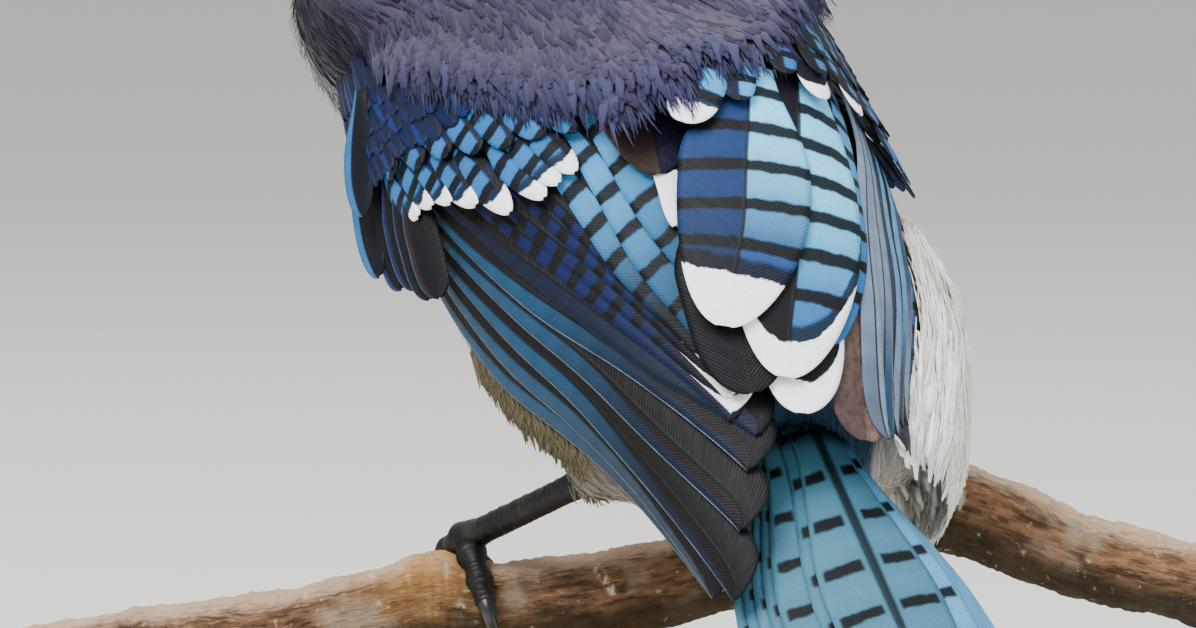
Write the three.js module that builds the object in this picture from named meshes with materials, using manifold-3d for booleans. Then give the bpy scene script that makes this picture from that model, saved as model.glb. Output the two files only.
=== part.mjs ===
// A blue jay, life size, perched on a cut length of branch that a plain display stand holds up.
// Millimetres, +Z up. The bird faces -Y, its left side is +X, and the origin is the centre of the
// underside of the stand's base.
import * as THREE from "three";
import { mergeVertices } from "three/addons/utils/BufferGeometryUtils.js";
import Module from "manifold-3d";

const wasm = await Module();
wasm.setup();

const DEG = Math.PI / 180;

// Driving dimensions of the bird
const GAP = 0.3;
const BODY_PITCH = 45 * DEG;
const BODY_HEIGHT = 127;
const BODY_SIDES = 22;
const TORSO_FRONT = 40;
const TORSO_BACK = -62;
const NECK_FRONT = 66;
const HEAD_CENTRE = [21, 78, -5];
const HEAD_TURN = 50 * DEG;
const HEAD_DROP = 6 * DEG;
const BILL_BASE = 21;
const BILL_LENGTH = 25;
const EYE_RADIUS = 4.1;
const TAIL_LENGTH = 132;
const TAIL_LEVEL = 13;
const VANE_THICKNESS = 0.55;
const VANE_PITCH = 0.85;

// Driving dimensions of the perch and the stand
const BRANCH_TURN = 152 * DEG;
const BRANCH_RADIUS = 7.2;
const BASE_RADIUS = 66;
const BASE_HEIGHT = 11;
const ROD_RADIUS = 2.4;

// Torso and neck, head to tail: place along the body, sideways and dorsal shift, half width, half depth
const BODY_ROWS = [
  [-76, -0.5, -3, 9, 7],
  [-66, -1, -4, 14.5, 11],
  [-54, -1, -3.5, 22, 17],
  [-38, -1, -3, 28.5, 26],
  [-20, -0.5, -4.5, 33, 31.5],
  [0, 0, -6, 35.5, 35.5],
  [20, 1.5, -4, 34, 34.5],
  [36, 5.5, -4, 31, 31.5],
  [49, 13.5, -6, 30, 28],
  [60, 19, -6, 24.5, 23.5],
  [67, 20.5, -5, 18, 18],
  [76, 21, -5, 13, 13],
];

// The surface that the folded wings lie on: place along the body, dorsal shift, half width, half depth
const WING_ROWS = [
  [-115, 6, 19, 10],
  [-90, 5, 21, 13],
  [-66, 3, 25.5, 18.5],
  [-45, 0, 30.5, 25],
  [-25, -4.5, 34.5, 32],
  [0, -6, 37, 36.8],
  [20, -4.5, 36.5, 35.5],
  [40, -4, 33.5, 32.5],
];

// Colours for a plain view of the solids
const COLOURS = {
  mantle: 0x77749b,
  blue: 0x3f78b8,
  tail: 0x5596b9,
  white: 0xe9e6df,
  black: 0x262429,
  bark: 0x825a40,
  wood: 0xb08a62,
  metal: 0x8f9296,
};

const model = new THREE.Group();

function addNode(name, geometry, colour, roughness = 0.7, metalness = 0) {
  const material = new THREE.MeshStandardMaterial({ color: colour, roughness, metalness });
  const mesh = new THREE.Mesh(geometry, material);
  mesh.name = name;
  model.add(mesh);
}

// A smooth curve through rows of [position, value, value, ...]
function between(rows, position) {
  let i = 0;
  while (i < rows.length - 2 && position > rows[i + 1][0]) i += 1;
  const [before, here, next, after] = [rows[Math.max(i - 1, 0)], rows[i], rows[i + 1], rows[Math.min(i + 2, rows.length - 1)]];
  const span = next[0] - here[0];
  const t = THREE.MathUtils.clamp((position - here[0]) / span, 0, 1);
  return here.slice(1).map((start, k) => {
    const end = next[k + 1];
    const slopeIn = (span * (end - before[k + 1])) / (next[0] - before[0]);
    const slopeOut = (span * (after[k + 1] - start)) / (after[0] - here[0]);
    const rise = 3 * (end - start) - 2 * slopeIn - slopeOut;
    const fall = 2 * (start - end) + slopeIn + slopeOut;
    return start + slopeIn * t + rise * t * t + fall * t * t * t;
  });
}

function smooth(low, high, value) {
  return THREE.MathUtils.smoothstep(value, low, high);
}

// A point given sideways, along the body towards the head, and out of the back
function onBird(x, along, dorsal) {
  const y = -along * Math.cos(BODY_PITCH) + dorsal * Math.sin(BODY_PITCH);
  const z = along * Math.sin(BODY_PITCH) + dorsal * Math.cos(BODY_PITCH);
  return new THREE.Vector3(x, y, BODY_HEIGHT + z);
}

// Closed mesh from rings of equal count. The diagonals of the second half of each ring mirror those
// of the first, so that the two faces of a thin vane are split alike.
function loft(rings) {
  const count = rings[0].length;
  const points = rings.flat();
  const first = points.length;
  const faces = [];
  for (let i = 0; i < rings.length - 1; i += 1) {
    for (let j = 0; j < count; j += 1) {
      const a = i * count + j;
      const b = i * count + ((j + 1) % count);
      const [c, d] = [a + count, b + count];
      if (j < count / 2) faces.push([a, b, d], [a, d, c]);
      else faces.push([a, b, c], [b, d, c]);
    }
  }
  for (const [end, ring] of [[0, 0], [1, rings.length - 1]]) {
    const centre = rings[ring].reduce((sum, p) => sum.add(p), new THREE.Vector3()).divideScalar(count);
    points.push(centre);
    for (let j = 0; j < count; j += 1) {
      const a = ring * count + j;
      const b = ring * count + ((j + 1) % count);
      faces.push(end ? [a, b, first + 1] : [b, a, first]);
    }
  }
  return closed(points, faces);
}

// Geometry from points and faces, turned outwards if its volume comes out negative
function closed(points, faces) {
  const volume = faces.reduce((sum, [a, b, c]) => {
    return sum + points[a].dot(points[b].clone().cross(points[c]));
  }, 0);
  const index = volume > 0 ? faces.flat() : faces.map(([a, b, c]) => [a, c, b]).flat();
  const geometry = new THREE.BufferGeometry();
  geometry.setAttribute("position", new THREE.Float32BufferAttribute(points.flatMap((p) => p.toArray()), 3));
  geometry.setIndex(index);
  return geometry;
}

function toSolid(source) {
  const geometry = source.clone();
  geometry.deleteAttribute("normal");
  geometry.deleteAttribute("uv");
  const merged = mergeVertices(geometry, 1e-4);
  const vertProperties = new Float32Array(merged.attributes.position.array);
  const triVerts = new Uint32Array(merged.index.array);
  return new wasm.Manifold(new wasm.Mesh({ numProp: 3, vertProperties, triVerts }));
}

// The largest closed surface of a solid, as geometry
function toGeometry(solid) {
  const pieces = solid.decompose();
  if (pieces.length === 0) throw new Error("a node came out empty");
  const largest = pieces.reduce((best, piece) => (piece.volume() > best.volume() ? piece : best));
  const mesh = largest.getMesh();
  const geometry = new THREE.BufferGeometry();
  geometry.setAttribute("position", new THREE.Float32BufferAttribute(mesh.vertProperties, 3));
  geometry.setIndex(Array.from(mesh.triVerts));
  return geometry;
}

function fuse(pieces, cuts = []) {
  let whole = toSolid(pieces[0]);
  for (const piece of pieces.slice(1)) whole = whole.add(toSolid(piece));
  for (const cut of cuts) whole = whole.subtract(toSolid(cut));
  return toGeometry(whole);
}

function ellipseRing(centre, sideways, upwards, halfWidth, halfHeight, sides) {
  const ring = [];
  for (let j = 0; j < sides; j += 1) {
    const angle = (j / sides) * 2 * Math.PI;
    ring.push(centre.clone()
      .addScaledVector(sideways, Math.cos(angle) * halfWidth)
      .addScaledVector(upwards, Math.sin(angle) * halfHeight));
  }
  return ring;
}

// A round limb through points, with a radius at each
function limb(points, radii, sides = 10) {
  const rings = points.map((point, i) => {
    const tangent = points[Math.min(i + 1, points.length - 1)].clone().sub(points[Math.max(i - 1, 0)]).normalize();
    const sideways = new THREE.Vector3(0.31, 0.2, 0.93).cross(tangent).normalize();
    const upwards = tangent.clone().cross(sideways);
    return ellipseRing(point, sideways, upwards, radii[i], radii[i], sides);
  });
  return loft(rings);
}

function ellipsoid(centre, axes, radii, sides = 14, rows = 9) {
  const rings = [];
  for (let i = 0; i < rows; i += 1) {
    const angle = ((i + 0.5) / rows) * Math.PI;
    const middle = centre.clone().addScaledVector(axes[2], -Math.cos(angle) * radii[2]);
    rings.push(ellipseRing(middle, axes[0], axes[1], Math.sin(angle) * radii[0], Math.sin(angle) * radii[1], sides));
  }
  return loft(rings);
}

// A vane: a thin feather whose surface gives a point for a place from root to tip, a place across
// from -1 to 1, and a lift off its middle
function vane(surface, stops, across = NARROW) {
  const rings = stops.map((along) => {
    const half = (VANE_THICKNESS / 2) * (1 - 0.35 * smooth(0.7, 1, along));
    const top = across.map((place) => surface(along, place, half));
    const under = [...across].reverse().map((place) => surface(along, place, -half));
    return [...top, ...under];
  });
  return loft(rings);
}

// How wide a feather is along its length, against its widest: narrow root, full middle, round tip
function outline(along) {
  const root = 0.38 + 0.62 * smooth(0, 0.45, along);
  const tip = Math.sqrt(1 - 0.86 * Math.pow(THREE.MathUtils.clamp((along - 0.8) / 0.2, 0, 1), 2));
  return root * tip;
}

const LONG_STOPS = [0, 0.36, 0.8, 1];
const SHORT_STOPS = [0, 0.6, 1];
const NARROW = [-1, 1];
const WIDE = [-1, 0, 1];

const BIRD_AXES = [
  new THREE.Vector3(1, 0, 0),
  new THREE.Vector3(0, Math.sin(BODY_PITCH), Math.cos(BODY_PITCH)),
  new THREE.Vector3(0, -Math.cos(BODY_PITCH), Math.sin(BODY_PITCH)),
];

// Torso, neck and head
function bodyLength(from, to, steps, grow = 0) {
  const rings = [];
  for (let i = 0; i <= steps; i += 1) {
    const along = THREE.MathUtils.lerp(from, to, i / steps);
    const [x, dorsal, halfWidth, halfDepth] = between(BODY_ROWS, along);
    rings.push(ellipseRing(onBird(x, along, dorsal), BIRD_AXES[0], BIRD_AXES[1], halfWidth + grow, halfDepth + grow, BODY_SIDES));
  }
  return loft(rings);
}

const HEAD_FORWARD = new THREE.Vector3(
  Math.sin(HEAD_TURN) * Math.cos(HEAD_DROP),
  -Math.cos(HEAD_TURN) * Math.cos(HEAD_DROP),
  -Math.sin(HEAD_DROP),
);
const HEAD_LEFT = new THREE.Vector3(Math.cos(HEAD_TURN), Math.sin(HEAD_TURN), 0);
const HEAD_UP = HEAD_FORWARD.clone().cross(HEAD_LEFT).normalize();

function onHead(forward, left, up) {
  return onBird(...HEAD_CENTRE)
    .addScaledVector(HEAD_FORWARD, forward)
    .addScaledVector(HEAD_LEFT, left)
    .addScaledVector(HEAD_UP, up);
}

// Place along the head, rise of its middle, half width, half height
const HEAD_ROWS = [
  [-23, 1, 5, 5.5],
  [-19, 1, 11, 11.5],
  [-11, 0.5, 16.4, 17.2],
  [-2, 0.5, 18.2, 19],
  [6, 0.5, 16.6, 17.4],
  [12, 0, 13.2, 14],
  [17, -0.9, 9, 9.8],
  [21, -1.6, 6, 6.6],
];

function headForm() {
  const rings = [];
  for (let i = 0; i <= 11; i += 1) {
    const forward = THREE.MathUtils.lerp(-23, BILL_BASE, i / 11);
    const [rise, halfWidth, halfHeight] = between(HEAD_ROWS, forward);
    rings.push(ellipseRing(onHead(forward, 0, rise), HEAD_LEFT, HEAD_UP, halfWidth, halfHeight, 16));
  }
  return loft(rings);
}

function eyeCentre(side) {
  return onHead(9, side * 12, 3.4);
}

function eyeBall(side, grow = 0) {
  const radius = EYE_RADIUS + grow;
  return ellipsoid(eyeCentre(side), [HEAD_FORWARD, HEAD_UP, HEAD_LEFT], [radius, radius, radius], 12, 8);
}

// Crest: feathers in three columns swept back from the crown, the hind ones longest
const CREST_ROWS = 4;
const CREST_LENGTHS = [13, 26];
const CREST_RISE = [27 * DEG, 15 * DEG];

function crestVane(row, column) {
  const t = row / (CREST_ROWS - 1);
  const [length, rise] = [CREST_LENGTHS, CREST_RISE].map(([front, hind]) => THREE.MathUtils.lerp(front, hind, t));
  const forward = THREE.MathUtils.lerp(12, -9, t) - Math.abs(column) * 1.5;
  const left = column * (3.4 + t);
  const [middle, halfWidth, halfHeight] = between(HEAD_ROWS, forward);
  const up = middle + halfHeight * Math.sqrt(1 - (left / halfWidth) ** 2) - 2.2;
  const bend = 10 * DEG;
  const half = THREE.MathUtils.lerp(3.4, 4.6, t);
  return vane((along, across, lift) => {
    const angle = rise + bend * along;
    const side = left * (1 - 0.35 * along) + across * half * outline(along);
    const height = up + length * along * Math.sin(angle) + lift * Math.cos(angle) - Math.abs(across) * 0.5;
    return onHead(forward - length * along * Math.cos(angle) + lift * Math.sin(angle), side, height);
  }, SHORT_STOPS);
}

function crest() {
  const vanes = [];
  for (let row = 0; row < CREST_ROWS; row += 1) {
    for (const column of [-1, 0, 1]) vanes.push(crestVane(row, column));
  }
  return vanes;
}

// The lids: a low rim round each eye, set square to the side of the head
const LID_RADIUS = 4.5;
const LID_THICKNESS = 0.9;

function lidRing(side) {
  const outwards = HEAD_LEFT.clone().multiplyScalar(side).addScaledVector(HEAD_FORWARD, 0.32).addScaledVector(HEAD_UP, 0.16).normalize();
  const turn = new THREE.Quaternion().setFromUnitVectors(new THREE.Vector3(0, 0, 1), outwards);
  const centre = eyeCentre(side).addScaledVector(outwards, 2.1);
  return new THREE.TorusGeometry(LID_RADIUS, LID_THICKNESS, 5, 14).applyQuaternion(turn).translate(...centre);
}

// Bill: each half is a loft from the face to the tip
function billHalf(upper) {
  const rings = [];
  const steps = 7;
  for (let i = 0; i <= steps; i += 1) {
    const t = i / steps;
    const forward = BILL_BASE + GAP + BILL_LENGTH * (upper ? 1 : 0.94) * t;
    const half = 4.6 * Math.pow(1 - t, 0.8) + 0.35;
    const depth = (upper ? 5.2 : 3.6) * Math.pow(1 - t, 0.62) + 0.4;
    const line = -1.4 - 1.6 * t * t + (upper ? GAP / 2 : -GAP / 2);
    const ring = [];
    const sides = 9;
    for (let j = 0; j < sides; j += 1) {
      const angle = (j / (sides - 1)) * Math.PI;
      ring.push(onHead(forward, Math.cos(angle) * half, line + (upper ? 1 : -1) * Math.sin(angle) * depth));
    }
    rings.push(ring);
  }
  return loft(rings);
}

function nostril(side) {
  const centre = onHead(BILL_BASE + 5.5, side * 3.1, 1.9);
  return ellipsoid(centre, [HEAD_UP, HEAD_LEFT, HEAD_FORWARD], [0.7, 1.2, 1.5], 6, 4);
}

// Wings: the right one is drawn in under the tail, and its inner feathers cross over the left one's
const TUCK = 0.22;
const TUCK_DROP = 7;
const RIGHT_HUG = 3;
const OVERLAP_LIFT = 5.9;

function onWing(side, along, angle, lift) {
  const [dorsal, halfWidth, halfDepth] = between(WING_ROWS, along);
  const tuck = side < 0 ? 1 - smooth(-84, -32, along) : 0;
  const hug = side < 0 ? RIGHT_HUG * smooth(-20, 15, along) : 0;
  const over = side < 0 ? OVERLAP_LIFT * (1 - smooth(4, 40, angle / DEG)) : 0;
  const height = lift + over - hug;
  const x = side * (halfWidth * (1 - TUCK * tuck) + height) * Math.sin(angle);
  return onBird(x, along, dorsal - TUCK_DROP * tuck + (halfDepth + height) * Math.cos(angle));
}

// The folded arm under the small coverts, a low pad from the shoulder to the roots of the flights, and
// the pad under the shoulder feathers that the innermost flights grow from
const ARM = { along: 11, reach: 27, angle: 74, spread: 42, skew: 0.55, level: 2.8, thickness: 2.8 };
const SHOULDER = {
  left: { along: 1, reach: 13, angle: 40, spread: 20, skew: 0, level: 2.6, thickness: 2.2 },
  right: { along: 2, reach: 14, angle: 26, spread: 30, skew: 0, level: 2.4, thickness: 2.2 },
};

function pad(side, form) {
  const rings = [];
  const [rows, sides] = [9, 12];
  for (let i = 0; i < rows; i += 1) {
    const polar = ((i + 0.5) / rows) * Math.PI;
    const ring = [];
    for (let j = 0; j < sides; j += 1) {
      const turn = (j / sides) * 2 * Math.PI;
      const along = form.along + form.reach * Math.cos(polar);
      const skewed = form.angle + (along - form.along) * form.skew;
      const angle = (skewed + form.spread * Math.sin(polar) * Math.cos(turn)) * DEG;
      const swell = Math.pow(Math.sin(polar), 0.6);
      ring.push(onWing(side, along, angle, form.level + form.thickness * swell * Math.sin(turn)));
    }
    rings.push(ring);
  }
  return loft(rings);
}

// Flight feathers from the outermost primary, 0, to the innermost tertial, 15: root and tip as places
// along the body with angles round it from the middle of the back, half width, and a bow of the path
const FLIGHTS = {
  left: [
    [0, 20, 100, -72, 72, 4.4, -8],
    [3, 18, 95, -87, 70, 5, -8],
    [7, 13, 85, -69, 50, 6.4, -4],
    [11, 6, 62, -63, 26, 7.6, 0],
    [13, 3, 50, -64, 14, 8.4, 0],
    [14, 0, 42, -62, 9, 8.4, 0],
    [15, -3, 35, -46, 20, 8, 0],
  ],
  right: [
    [0, 18, 94, -70, 90, 4.2, -28],
    [3, 17, 88, -83, 92, 4.8, -24],
    [7, 13, 76, -72, 60, 6.4, -12],
    [10, 9, 60, -68, 32, 7.6, 0],
    [12, 6, 49, -67, 16, 8.4, 0],
    [13, 5, 42, -65, 4, 9.4, 0],
    [14, 3, 32, -54, -9, 10.5, 0],
    [15, -1, 8, -43, -21, 11.5, 0],
  ],
};
const FLIGHT_COUNT = 16;
const FLIGHT_LEVEL = 2.8;
const MOST_TILT = 0.4;

function flightPath(rows, index, along) {
  const [rootAlong, rootAngle, tipAlong, tipAngle, half, bow] = between(rows, index);
  const angle = THREE.MathUtils.lerp(rootAngle, tipAngle, Math.pow(along, 1.15)) + bow * 4 * along * (1 - along);
  return { place: THREE.MathUtils.lerp(rootAlong, tipAlong, along), angle: angle * DEG, half };
}

function wingRadius(place) {
  const [, halfWidth, halfDepth] = between(WING_ROWS, place);
  return (halfWidth + halfDepth) / 2;
}

function flightVane(side, rows, index, level) {
  return vane((along, across, lift) => {
    const here = flightPath(rows, index, along);
    const near = flightPath(rows, index, Math.max(along - 0.05, 0));
    const next = flightPath(rows, index, Math.min(along + 0.05, 1));
    const radius = wingRadius(here.place);
    const run = next.place - near.place;
    const drift = (next.angle - near.angle) * radius;
    const length = Math.hypot(run, drift);
    const outer = flightPath(rows, Math.max(index - 1, 0), along).angle;
    const inner = flightPath(rows, Math.min(index + 1, FLIGHT_COUNT - 1), along).angle;
    const neighbours = index > 0 && index < FLIGHT_COUNT - 1 ? 2 : 1;
    const spacing = (Math.abs(outer - inner) * radius) / neighbours;
    const tilt = Math.min(VANE_PITCH / Math.max(spacing, 0.5), MOST_TILT);
    const offset = across * here.half * outline(along);
    const place = here.place + (offset * drift) / length;
    const angle = here.angle - (offset * run) / length / radius;
    return onWing(side, place, angle, level + offset * tilt + lift);
  }, LONG_STOPS, index > 12 ? WIDE : NARROW);
}

// Coverts: rows of [index, tip place, tip angle]; each vane runs back from a root ahead of its tip
const COVERT_TIPS = {
  left: [[0, 4, 88], [2, 1, 66], [4, -6, 45], [5, -11, 36]],
  right: [[0, 4, 86], [2, 4, 58], [4, 0, 31], [5, -3, 16]],
};
const COVERT_COUNT = 6;
const COVERTS = [
  { ahead: 0, length: 17, half: 6.6, level: 5.1 },
  { ahead: 9, length: 11, half: 6, level: 5.9 },
];

function covertVane(side, tips, index, { ahead, length, half, level }) {
  const [tipPlace, tipAngle] = between(tips, index);
  return vane((along, across, lift) => {
    const place = tipPlace + ahead + length * (1 - along);
    const radius = wingRadius(place) + level;
    const angle = tipAngle * DEG + (across * half * outline(along)) / radius;
    return onWing(side, place, angle, level - 1.6 * (1 - along) + across * 0.35 + lift);
  }, SHORT_STOPS);
}

// Primary coverts and the alula at the wing's outer edge
function edgeVane(side, { root, tip, half, level }) {
  return vane((along, across, lift) => {
    const place = THREE.MathUtils.lerp(root[0], tip[0], along);
    const angle = THREE.MathUtils.lerp(root[1], tip[1], along) * DEG;
    const radius = wingRadius(place) + level;
    return onWing(side, place, angle + (across * half * outline(along)) / radius, level + across * 0.3 + lift);
  }, SHORT_STOPS);
}

function edgeVanes(side) {
  const vanes = [];
  for (let i = 0; i < 4; i += 1) {
    vanes.push(edgeVane(side, { root: [22 - i, 99 - 3 * i], tip: [-5 + 2 * i, 98 - 4 * i], half: 3.8, level: 4.2 + i * 0.6 }));
  }
  for (let i = 0; i < 2; i += 1) {
    vanes.push(edgeVane(side, { root: [31, 106 - 3 * i], tip: [6 + 7 * i, 108 - 4 * i], half: 3.4, level: 3.6 + i * 0.8 }));
  }
  return vanes;
}

function wingForm(name, side) {
  const pieces = [pad(side, ARM), pad(side, SHOULDER[name])];
  for (let index = 0; index < FLIGHT_COUNT; index += 1) {
    pieces.push(flightVane(side, FLIGHTS[name], index, FLIGHT_LEVEL));
  }
  for (const row of COVERTS) {
    for (let index = 0; index < COVERT_COUNT; index += 1) {
      pieces.push(covertVane(side, COVERT_TIPS[name], index, row));
    }
  }
  return [...pieces, ...edgeVanes(side)];
}

// Tail
function tailRoot() {
  const rings = [];
  const back = TORSO_BACK - GAP;
  for (let i = 0; i <= 5; i += 1) {
    const t = i / 5;
    const along = THREE.MathUtils.lerp(back, back - 24, t);
    const [x, dorsal, halfWidth, halfDepth] = between(BODY_ROWS, back);
    const depth = THREE.MathUtils.lerp(halfDepth, 2.6, Math.pow(t, 0.7));
    const top = THREE.MathUtils.lerp(dorsal + halfDepth, TAIL_LEVEL + 0.6, smooth(0, 0.3, t)) - 6 * smooth(0.4, 1, t);
    const width = THREE.MathUtils.lerp(halfWidth, 11, smooth(0, 1, t));
    rings.push(ellipseRing(onBird(x * (1 - t), along, top - depth), BIRD_AXES[0], BIRD_AXES[1], width, depth, BODY_SIDES));
  }
  return loft(rings);
}

// Tail feathers in six pairs: the middle pair on top, each pair outwards lying under the last
const TAIL_PAIRS = 6;
const TAIL_ROOT = -57;
const TAIL_SPLAY = 12.5 * DEG;
const TAIL_HALF = 10.8;

function tailVane(pair, side) {
  const t = pair / (TAIL_PAIRS - 1);
  const splay = TAIL_SPLAY * t;
  const length = TAIL_LENGTH - 12 - 13 * t * t;
  const half = TAIL_HALF - 2 * t;
  const rootX = side * (0.9 + 6.2 * t);
  const level = TAIL_LEVEL - (pair === 0 && side > 0 ? VANE_PITCH : 0) - (pair > 0 ? (pair + 1) * VANE_PITCH : 0);
  return vane((along, across, lift) => {
    const reach = length * along;
    const offset = side * across * half * outline(along);
    const x = rootX + side * reach * Math.sin(splay) + offset * Math.cos(splay);
    const clear = pair > 0 ? side * Math.max(side * x, GAP / 2) : x;
    const place = TAIL_ROOT - reach * Math.cos(splay) + side * offset * Math.sin(splay);
    const sag = 0.02 * Math.abs(clear) ** 1.5;
    return onBird(clear, place, level - sag + lift);
  }, LONG_STOPS, pair === 0 ? WIDE : NARROW);
}

function tailForm() {
  const pieces = [tailRoot()];
  for (let pair = 0; pair < TAIL_PAIRS; pair += 1) {
    for (const side of [1, -1]) pieces.push(tailVane(pair, side));
  }
  return pieces;
}

// Perch: a branch that runs along its own direction, with a kink under the bird's right foot
const BRANCH_ALONG = new THREE.Vector3(Math.cos(BRANCH_TURN), Math.sin(BRANCH_TURN), 0);
const BRANCH_NEAR = new THREE.Vector3(Math.sin(BRANCH_TURN), -Math.cos(BRANCH_TURN), 0);

// Distance along the branch, height from the middle of the body, distance towards its near side, radius
const BRANCH_ROWS = [
  [-106, -75, -10, 6.4],
  [-90, -72.5, -10.5, 6.8],
  [-60, -69, -11.5, 7],
  [-38, -64.6, -12, 7.7],
  [-24, -64.6, -12, 7],
  [0, -61, -12.5, 7.1],
  [18, -55.5, -13, 7.2],
  [34, -49.5, -13, 7.5],
  [44, -47.8, -13, 7.8],
  [56, -51.5, -13, 7.2],
  [68, -56.6, -12.5, 6.9],
  [84, -60.5, -12, 6.5],
  [106, -66, -11, 5.6],
];

function branchMiddle(distance) {
  const [height, near] = between(BRANCH_ROWS, distance);
  return new THREE.Vector3(0, 0, BODY_HEIGHT + height)
    .addScaledVector(BRANCH_ALONG, distance)
    .addScaledVector(BRANCH_NEAR, near);
}

function branchFrame(distance) {
  const middle = branchMiddle(distance);
  const along = branchMiddle(distance + 1).sub(branchMiddle(distance - 1)).normalize();
  const up = new THREE.Vector3(0, 0, 1).addScaledVector(along, -along.z).normalize();
  const away = up.clone().cross(along).normalize();
  return { middle, along, up, away, radius: between(BRANCH_ROWS, distance)[2] };
}

function branchForm(grow = 0) {
  const rings = [];
  const steps = 28;
  const sides = 10;
  for (let i = 0; i <= steps; i += 1) {
    const distance = THREE.MathUtils.lerp(-105 - grow, 105 + grow, i / steps);
    const { middle, up, away, radius } = branchFrame(distance);
    const ring = [];
    for (let j = 0; j < sides; j += 1) {
      const angle = (j / sides) * 2 * Math.PI;
      const bump = 0.25 * Math.sin(3 * angle + distance * 0.13) + 0.2 * Math.sin(distance * 0.4 + 2 * angle);
      const reach = radius + grow + bump * (grow ? 0.6 : 1);
      ring.push(middle.clone()
        .addScaledVector(up, Math.sin(angle) * reach)
        .addScaledVector(away, Math.cos(angle) * reach));
    }
    rings.push(ring);
  }
  return loft(rings);
}

// Legs and feet
const FEET = {
  left: { distance: -32.5, heel: [16.5, 5, -42], bulge: [16, -30, -17], bulgeRadii: [9.5, 11, 13] },
  right: { distance: 40.5, heel: [-26, 20, -31], bulge: [-25.5, -35, -6], bulgeRadii: [13.5, 14, 20] },
};
const SLEEVE_RADII = [8, 7, 5.4, 3];
const SLEEVE_REACH = [-0.3, 0.06];
const TOE_RADIUS = 1.5;
const TOE_CLEARANCE = 0.45;
const FRONT_TOES = [
  { lean: -7, wrap: 105, radius: 1.4 },
  { lean: 0.5, wrap: 128, radius: 1.55 },
  { lean: 7, wrap: 108, radius: 1.4 },
];
const HIND_TOE = { lean: 6, wrap: -112, radius: 1.6 };

function footHub(foot, grow = 0) {
  const { middle, up, along, away, radius } = branchFrame(foot.distance);
  const centre = middle.clone().addScaledVector(up, radius + 2.7);
  return ellipsoid(centre, [along, away, up], [3 + grow, 3.2 + grow, 2.2 + grow], 10, 6);
}

function toe(foot, { lean, wrap, radius: toeRadius }, grow = 0) {
  const steps = 6;
  const points = [];
  const radii = [];
  for (let i = 0; i <= steps; i += 1) {
    const t = i / steps;
    const frame = branchFrame(foot.distance + lean * t);
    const angle = wrap * DEG * t;
    const claw = smooth(0.68, 1, t);
    const lift = frame.radius + TOE_CLEARANCE + toeRadius + claw * 0.5;
    points.push(frame.middle.clone()
      .addScaledVector(frame.up, Math.cos(angle) * lift)
      .addScaledVector(frame.away, Math.sin(angle) * lift));
    radii.push(toeRadius * (1 - 0.82 * claw) * (1 + 0.12 * Math.cos(t * 22)) + grow);
  }
  return limb(points, radii, 6);
}

function footForm(foot, grow = 0) {
  return [footHub(foot, grow), ...[...FRONT_TOES, HIND_TOE].map((one) => toe(foot, one, grow))];
}

function heelPoint(foot) {
  return new THREE.Vector3(foot.heel[0], foot.heel[1], BODY_HEIGHT + foot.heel[2]);
}

function anklePoint(foot) {
  const { middle, up, radius } = branchFrame(foot.distance);
  return middle.clone().addScaledVector(up, radius + 3);
}

function tarsus(foot) {
  const points = [0, 0.25, 0.6, 0.86, 1].map((t) => heelPoint(foot).lerp(anklePoint(foot), t));
  return limb(points, [2.3, 1.9, 1.75, 2, 2.4], 10);
}

// The feathered upper leg: a sleeve that comes out of the belly and ends round the tarsus
function sleeve(foot, grow = 0) {
  const last = SLEEVE_RADII.length - 1;
  const points = SLEEVE_RADII.map((radius, i) => {
    const t = THREE.MathUtils.lerp(...SLEEVE_REACH, i / last);
    return heelPoint(foot).lerp(anklePoint(foot), t);
  });
  return limb(points, SLEEVE_RADII.map((radius) => radius + grow), 12);
}

// The upper leg: the bulge of the thigh against the belly, and the sleeve that grows from it
function thighForm(foot, grow = 0) {
  const radii = foot.bulgeRadii.map((radius) => radius + grow);
  return [ellipsoid(onBird(...foot.bulge), BIRD_AXES, radii, 18, 11), sleeve(foot, grow)];
}

// Stand
function standBase() {
  const profile = [[0, 0], [BASE_RADIUS, 0], [BASE_RADIUS, BASE_HEIGHT - 3], [BASE_RADIUS - 1, BASE_HEIGHT - 1],
    [BASE_RADIUS - 3, BASE_HEIGHT], [0, BASE_HEIGHT]];
  const points = profile.map(([r, z]) => new THREE.Vector2(r, z));
  return new THREE.LatheGeometry(points, 40).rotateX(Math.PI / 2);
}

function standRod(distance) {
  const foot = branchMiddle(distance);
  const top = foot.z;
  const bottom = BASE_HEIGHT + GAP;
  return new THREE.CylinderGeometry(ROD_RADIUS, ROD_RADIUS, top - bottom, 20)
    .rotateX(Math.PI / 2)
    .translate(foot.x, foot.y, (top + bottom) / 2);
}

const torsoCut = bodyLength(TORSO_BACK, TORSO_FRONT, 15, GAP);
const perchCut = branchForm(GAP);
const neckCut = bodyLength(TORSO_FRONT, NECK_FRONT + GAP, 7, GAP);

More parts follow.
